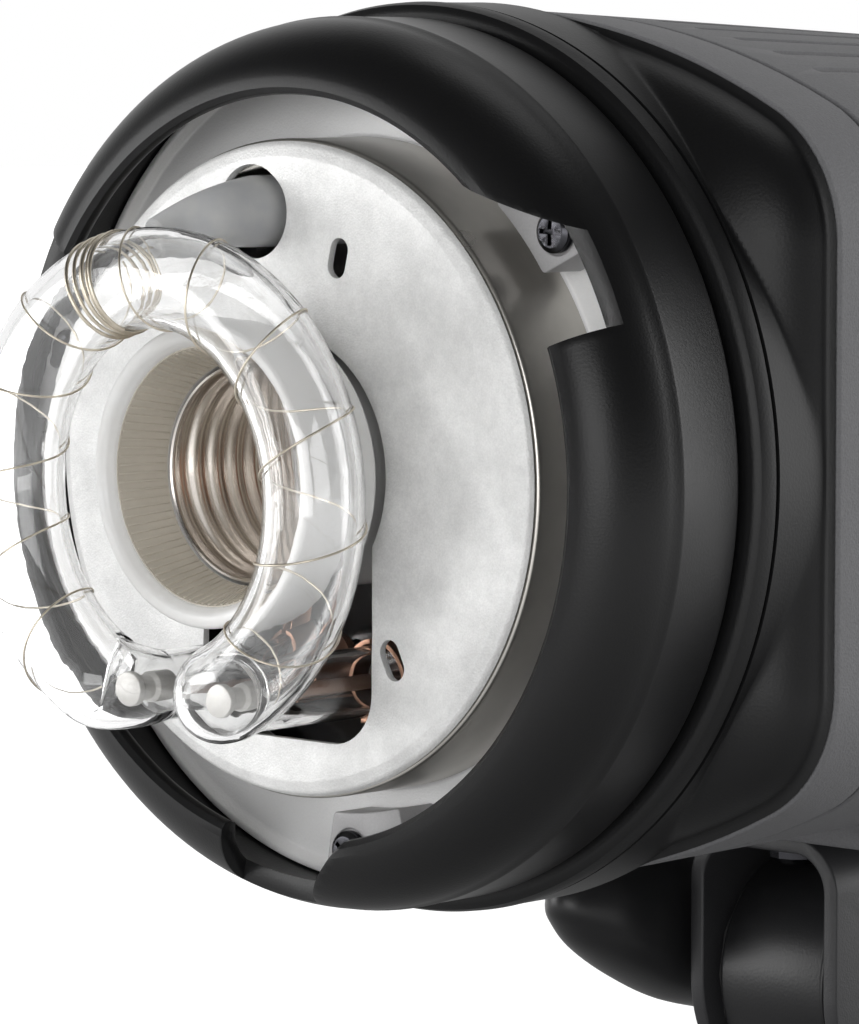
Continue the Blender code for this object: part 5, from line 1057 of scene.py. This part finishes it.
def make_thread():
    """Threaded shell: a true helix with a rounded form, its rim rolled outwards, and the contacts."""
    front, back, depth, steps = -0.0062, HOLDER_FLOOR_Y - 0.0006, 0.00085, 150
    rows = []
    for i in range(steps + 1):
        y = front + (back - front) * i / steps
        fade = min(1.0, (y - front) / 0.0022)
        row = []
        for k in range(CLOSE):
            angle = math.tau * k / CLOSE
            wave = math.cos(math.tau * ((y - front) / THREAD_PITCH - k / CLOSE))
            radius = THREAD_RADIUS - depth * (0.5 - 0.5 * wave) * fade
            row.append((radius * math.cos(angle), y, radius * math.sin(angle)))
        rows.append(row)
    rim = ((0.985, 0.0004), (1.02, 0.0003), (1.0, 0.0006))
    lip = [[(x * scale, front - ahead, z * scale) for x, _, z in rows[0]] for scale, ahead in rim]
    shell = skin(rows[::-1] + lip)
    solid = shell.modifiers.new("wall", "SOLIDIFY")
    solid.thickness = 0.0003
    solid.offset = 0
    dress(settled(shell), "thread_shell", SHELL_STEEL, "lamp_thread")
    contact = turned(rounded([
        (0, back), (0.0052, back), (0.0052, back - 0.001), (0.0021, back - 0.001), (0.0021, 0.0105),
        (0.0042, 0.0101), (0.0034, 0.0095), (0, 0.0095),
    ], 0.0004), 48)
    near, inner, outer = back - 0.0008, 0.0058, 0.0132
    floor_ring = turned([(inner, back), (outer, back), (outer, near), (inner, near)], closed=True)
    tongue = box((0.0042, 0.0004, 0.010), (0, back - 0.0022, 0.0085), 0.0001)
    turn_piece(tongue, 14, "X", (0, back, 0.009))
    dress(contact, "centre_contact", COPPER, "lamp_contact")
    dress(gathered(floor_ring, tongue), "holder_floor", CERAMIC_INSIDE)


# Shroud and case
def make_shroud():
    """Neck and flare in one skin; the flare grows out of the neck to the case's crowned section."""
    edge, fillet, steps, sides = 0.0016, 0.0004, 46, 360
    stations = [(0.0, -edge), (edge * 0.1, -edge * 0.6), (edge * 0.4, -edge * 0.22), (edge, 0.0)]
    stations += [(0.0030, 0.0001), (0.0033, -0.0001), (0.0034, -0.0005), (0.0038, -0.0005), (0.0039, 0.0)]
    stations = [(SHROUD_FRONT_Y + y, NECK_RADIUS + out) for y, out in stations]
    start = stations[-1][0]
    stations += [(start + (SHROUD_BACK_Y - start) * i / steps, NECK_RADIUS) for i in range(1, steps + 1)]
    rings = []
    for y, radius in stations:
        left = min(1.0, (SHROUD_BACK_Y - y) / FLARE_LENGTH)
        inset = 0.0017 + 0.0026 * left + 0.0105 * left ** 3
        if left < 0.05:
            inset = 0.0005 + (inset - 0.0005) * (left / 0.05) ** 0.6
        ring = []
        for angle in (math.tau * i / sides for i in range(sides)):
            flare = reach_of_outline(angle, inset)
            reach = (radius + flare + math.sqrt((radius - flare) ** 2 + fillet ** 2)) / 2
            ring.append((reach * math.cos(angle), y, reach * math.sin(angle)))
        rings.append(ring)
    lip = SHROUD_FRONT_Y + 0.003
    bore = ((SHROUD_BACK_Y, SHROUD_BORE), (lip, SHROUD_BORE), (lip, LIP_RADIUS), (SHROUD_FRONT_Y, LIP_RADIUS))
    rings += [[(x, y, z) for x, z in circle(radius, sides)] for y, radius in bore]
    slot = box((0.012, 0.0092, 0.0076), (-NECK_RADIUS, 0.0321, 0))
    shroud = cut(skin(rings, along=True), slot)
    dress(shroud, "shroud", SHROUD_BLACK, "front_shroud", sharp=28)


def band(start, end, wall, front_edge, back_edge, inset=0.0):
    """A ring of the case between two places, its outer edges rounded; a long one has more stations."""
    stations = [(start + short, inset + drawn) for drawn, short in quarter(front_edge, 4)]
    stations += [(end - short, inset + drawn) for drawn, short in quarter(back_edge, 4)]
    if end - start > 0.05:
        stations += [(start + (end - start) * i / 16, inset) for i in range(1, 16)]
    outside = [case_section(y, drawn) for y, drawn in sorted(stations)]
    inside = [case_section(end, inset + wall), case_section(start, inset + wall)]
    return skin(outside + inside, along=True)


def make_bezel():
    end = BEZEL_BACK_Y + COVER_GROOVE + 0.004
    bezel = band(SHROUD_BACK_Y + GAP, BEZEL_BACK_Y, 0.004, 0.0006, 0.0004)
    tongue = band(BEZEL_BACK_Y - 0.0004, end, 0.0014, 0.0001, 0.0001, CASE_WALL + GAP)
    dress(bezel, "bezel", CASE, "front_bezel")
    dress(tongue, "bezel_tongue", BLACK)


def make_covers():
    """Upper and lower cover: the sleeve split along its sides, with the vent slots in the top."""
    start, gap, deep = BEZEL_BACK_Y + COVER_GROOVE, 0.00035, 0.1
    middle, block = (start + COVER_BACK_Y) / 2, (0.3, COVER_BACK_Y - start + 0.01, 2 * deep)
    sleeve = band(start, COVER_BACK_Y, CASE_WALL, 0.0005, 0.0005)
    lower = place(sleeve.data.copy())
    upper = cut(sleeve, box(block, (0, middle, CASE_SPLIT_Z + gap / 2 - deep)))
    lower = cut(lower, box(block, (0, middle, CASE_SPLIT_Z - gap / 2 + deep)))
    outline = rounded_rectangle(VENT_WIDTH / 2, VENT_LENGTH / 2, VENT_WIDTH / 2 * 0.98)
    first = (-(VENT_COUNT - 1) / 2 * VENT_PITCH, VENT_START_Y + VENT_LENGTH / 2, 0.062)
    slots = copies_of(sheet(outline, 0.03, UPRIGHT, first), VENT_COUNT, CASE, step=(VENT_PITCH, 0, 0))
    upper = cut(upper, slots)
    upper.data.materials.clear()
    upper = eased(upper, 0.00018, 2, 40)
    pad = box((0.048, 0.052, 0.007), (0, PAD_Y, pad_bottom() + 0.0035), 0.0012)
    lower = eased(joined(lower, pad), 0.0002, 2, 40)
    dress(upper, "cover_top", CASE, "upper_cover")
    dress(lower, "cover_bottom", CASE, "lower_cover")


# Rear panel, its handle and its dial
def make_rear():
    """Rear panel with a full round edge, a seat for the window and its service holes."""
    start, inset, floor = COVER_BACK_Y + GAP, CASE_WALL + 0.0016, CASE_BACK_Y - PANEL_FACE
    rows = [case_section(start, 0.0003), case_section(start + 0.0004)]
    rows += [case_section(CASE_BACK_Y - short, drawn) for drawn, short in quarter(0.0026, 8)]
    panel = skin(rows, caps=True)
    tools = [skin([case_section(start - 0.001, inset), case_section(floor, inset)], caps=True)]
    holes = [circle(radius + GAP, sides, (x, z)) for radius, x, z, sides in ROUND_HOLES]
    for half_width, half_height, corner, x, z in SQUARE_HOLES:
        holes.append(rounded_rectangle(half_width + GAP, half_height + GAP, corner, 4, (x, z)))
    through = (0, CASE_BACK_Y - PANEL_FACE / 2, 0)
    tools += [sheet(hole, PANEL_FACE + 0.003, spot=through) for hole in holes]
    window = rounded_rectangle(0.0243, 0.0098, 0.0008, 4, (0, WINDOW_Z))
    tools.append(sheet(window, 0.006, spot=(0, CASE_BACK_Y + 0.0010, 0)))
    dress(eased(cut(panel, *tools), 0.00025, 2, 50), "panel", BLACK, "rear_panel")


def make_handle():
    """Round grip bar that bends down into two feet with flat seats on the panel."""
    seat = CASE_BACK_Y + GAP
    reach = seat + 0.0200
    half = [Vector((HANDLE_X, seat, HANDLE_Z)), Vector((HANDLE_X, CASE_BACK_Y + 0.0060, HANDLE_Z))]
    half += [Vector((HANDLE_X - across, reach - back, HANDLE_Z)) for across, back in quarter(0.0100, 12)]
    grip = tube(half + mirrored(half), 0.0060, 40)
    top = CASE_BACK_Y + 0.0030
    feet = [disc(0.0078, seat, top, 64, ALONG_Y, 0.0006, (x, 0, HANDLE_Z)) for x in (-HANDLE_X, HANDLE_X)]
    dress(eased(joined(grip, *feet), 0.0003, 2, 50), "grip", SOFT_BLACK, "rear_handle")


def make_dial():
    """Fluted dial with a pointer line, and the plain tick marks round it on the panel."""
    seat, sides, rows = CASE_BACK_Y + 0.0008, 144, []
    for along, scale in DIAL_PROFILE:
        ring = []
        for i in range(sides):
            fluted = 0.0109 + 0.0005 * math.cos(rad(12 * 360 * i / sides))
            x, z = polar(fluted * scale, 360 * i / sides)
            ring.append((x, seat + along, DIAL_Z + z))
        rows.append(ring)
    knob = skin(rows, caps=True)
    dress(knob, "dial_knob", SOFT_BLACK, "power_dial", "dial", sharp=25)
    line = box((0.0009, 0.0003, 0.0052), (0, seat + 0.0125, DIAL_Z + 0.0046), 0.0001)
    dress(line, "dial_pointer", MARK_WHITE, body="dial")
    marks = []
    for i in range(11):
        tick = box((0.0005, 0.0001, 0.0016 if i % 5 else 0.0026), (0, CASE_BACK_Y + 0.00008, 0.0142))
        marks.append(shift(turn_piece(tick, 135 - 27 * i), (0, 0, DIAL_Z)))
    dress(gathered(*marks), "dial_ticks", MARK_WHITE)


# Stand fitting, about the tilt axis
def make_fork():
    """Steel strip bent to a fork, its bends and rims rounded."""
    outer, steel, bend, ear = 0.0140, 0.0025, 0.0080, 0.0200
    top = pad_bottom() - GAP + FLASH.z - TILT.z
    half = [(outer, -ear)] + [(outer - across, top - down) for across, down in quarter(bend, 15)]
    inside = [(outer - steel - across, top - steel - down) for across, down in quarter(bend - steel, 15)]
    inside = inside[::-1] + [(outer - steel, -ear)]
    fork = sheet(half + mirrored(half) + mirrored(inside) + inside, 2 * ear)
    shape = [(ear + 0.001, top + 0.001), (-ear - 0.001, top + 0.001)] + arc(ear, 180, 360, 45)
    fork = cut(fork, sheet(shape, 0.06, FACING_SIDE), operation="INTERSECT")
    fork = eased(cut(fork, disc(PIVOT_RADIUS, -0.03, 0.03, 48, ALONG_X)), 0.0004, 3, 40)
    dress(fork, "fork", BLACK_PAINT, "bracket_fork", origin=TILT)


def lever_outline():
    """The lever from the side: a teardrop that leans forward and up."""
    tip = [(-0.0335, 0.0044), (-0.0372, 0.0082), (-0.0388, 0.0110), (-0.0382, 0.0142), (-0.0355, 0.0172)]
    top = [(-0.0300, 0.0182), (-0.0200, 0.0194), (-0.0110, 0.0182), (-0.0040, 0.0142)]
    back = [(y, z + 0.0022) for y, z in arc(0.0112, 96, -91, 17)]
    low = [(-0.0070, -0.0078), (-0.0160, -0.0052), (-0.0260, -0.0004)]
    return smooth_loop(top + back + low + tip)


def smooth_loop(points, steps=5):
    """A smooth closed curve through the points."""
    out, count = [], len(points)
    for i in range(count):
        p0, p1, p2, p3 = (Vector(points[(i + k) % count]) for k in (-1, 0, 1, 2))
        rise, bend, twist = p2 - p0, 2 * p0 - 5 * p1 + 4 * p2 - p3, 3 * p1 - p0 - 3 * p2 + p3
        for t in (s / steps for s in range(steps)):
            out.append(tuple((2 * p1 + rise * t + bend * t ** 2 + twist * t ** 3) * 0.5))
    return out


def make_lever():
    """Moulded clamp lever with full, rounded sides, on its collar."""
    near, far, steps = -0.0165, -0.0325, 24
    outline, centre = lever_outline(), Vector((-0.012, 0.004))
    rows = []
    for turn in (math.pi * i / steps for i in range(steps + 1)):
        x = (near + far) / 2 + (near - far) / 2 * math.cos(turn)
        scale = max(0.02, math.sin(turn)) ** 0.62
        rows.append([
            (x, centre.x + (y - centre.x) * scale, centre.y + (z - centre.y) * scale) for y, z in outline
        ])
    paddle = skin(rows, caps=True)
    collar = disc(0.0080, -0.0200, -0.0143, 64, ALONG_X, 0.0004)
    collar = cut(collar, disc(PIVOT_RADIUS, -0.0240, -0.010, 48, ALONG_X))
    dress(paddle, "lever", SOFT_BLACK, "tilt_lever", "lever", TILT, 50)
    dress(collar, "lever_collar", SOFT_BLACK, None, "lever", TILT)


def make_adapter():
    """Cast stand adapter: barrel, neck, spigot socket and bosses, its edges cast round."""
    half, top, bore = 0.0115 - 0.0010 - 0.0006, 0.0390, 0.00815
    column = turned(rounded([
        (0, top), (0.0128, top), (0.0140, top - 0.002), (0.0140, 0.0010), (0.0130, 0.0), (bore, 0.0),
        (bore, 0.036), (0, 0.036),
    ], 0.0012), CLOSE, UPRIGHT)
    neck = box((2 * half - 0.0004, 0.024, 0.036), (0, 0, 0.054), 0.0022, 4)

    def across(radius, start, end, sides, height, edge=0.0):
        return disc(radius, start, end, sides, ALONG_X, edge, (0, 0, height))

    barrel = across(0.0180, -half, half, 128, TILT.z, 0.0007)
    boss = across(0.0085, 0.010, 0.0185, 64, STAND_SCREW_Z, 0.0006)
    small = across(0.0042, 0.006, 0.0150, 48, UMBRELLA_Z, 0.0005)
    cast = joined(column, neck, barrel, boss, small)
    pivot = across(PIVOT_RADIUS, -0.03, 0.03, 48, TILT.z)
    shaft = disc(0.0048, -0.03, 0.03, 64, spot=(0, 0, UMBRELLA_Z))
    screws = [across(0.0044, 0.002, 0.0200, 48, STAND_SCREW_Z), across(0.0025, 0.0, 0.0170, 32, UMBRELLA_Z)]
    cast = eased(cut(cast, pivot, shaft, *screws), 0.0003, 2, 50)
    dress(cast, "adapter_casting", CAST_PAINT, "stand_adapter", "adapter", (0, 0, 0))


for make in (
    make_ring, make_tabs, make_can, make_plate, make_tube, make_sleeve, make_wires, make_holder,
    make_thread, make_shroud, make_bezel, make_covers, make_rear, make_handle, make_dial, make_fork,
    make_lever, make_adapter,
):
    make()

# Finishes of the nodes that stay as they are
for finish, nodes in (
    (SOFT_BLACK, "release_slide power_rocker fuse_cap fan_rotor stand_lock umbrella_lock"),
    (BRIGHT_STEEL, "lock_pin carrier_plate sync_jack tilt_bolt"), (WINDOW, "display_window slave_sensor"),
    (KEY_GREY, "mode_button_1 mode_button_2 mode_button_3 mode_button_4 test_button"),
    (BLACK, "inlet_socket switch_frame fuse_holder fan_frame"), (COPPER, "trigger_coil"),
    (BOARD, "power_board control_board"), (SLEEVE_BLUE, "capacitor_1 capacitor_2"),
    (BLACK_STEEL, "bracket_screw_1 bracket_screw_2"), (FRICTION, "friction_washer_1 friction_washer_2"),
):
    for node in nodes.split():
        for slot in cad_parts[node].material_slots:
            slot.material = finish
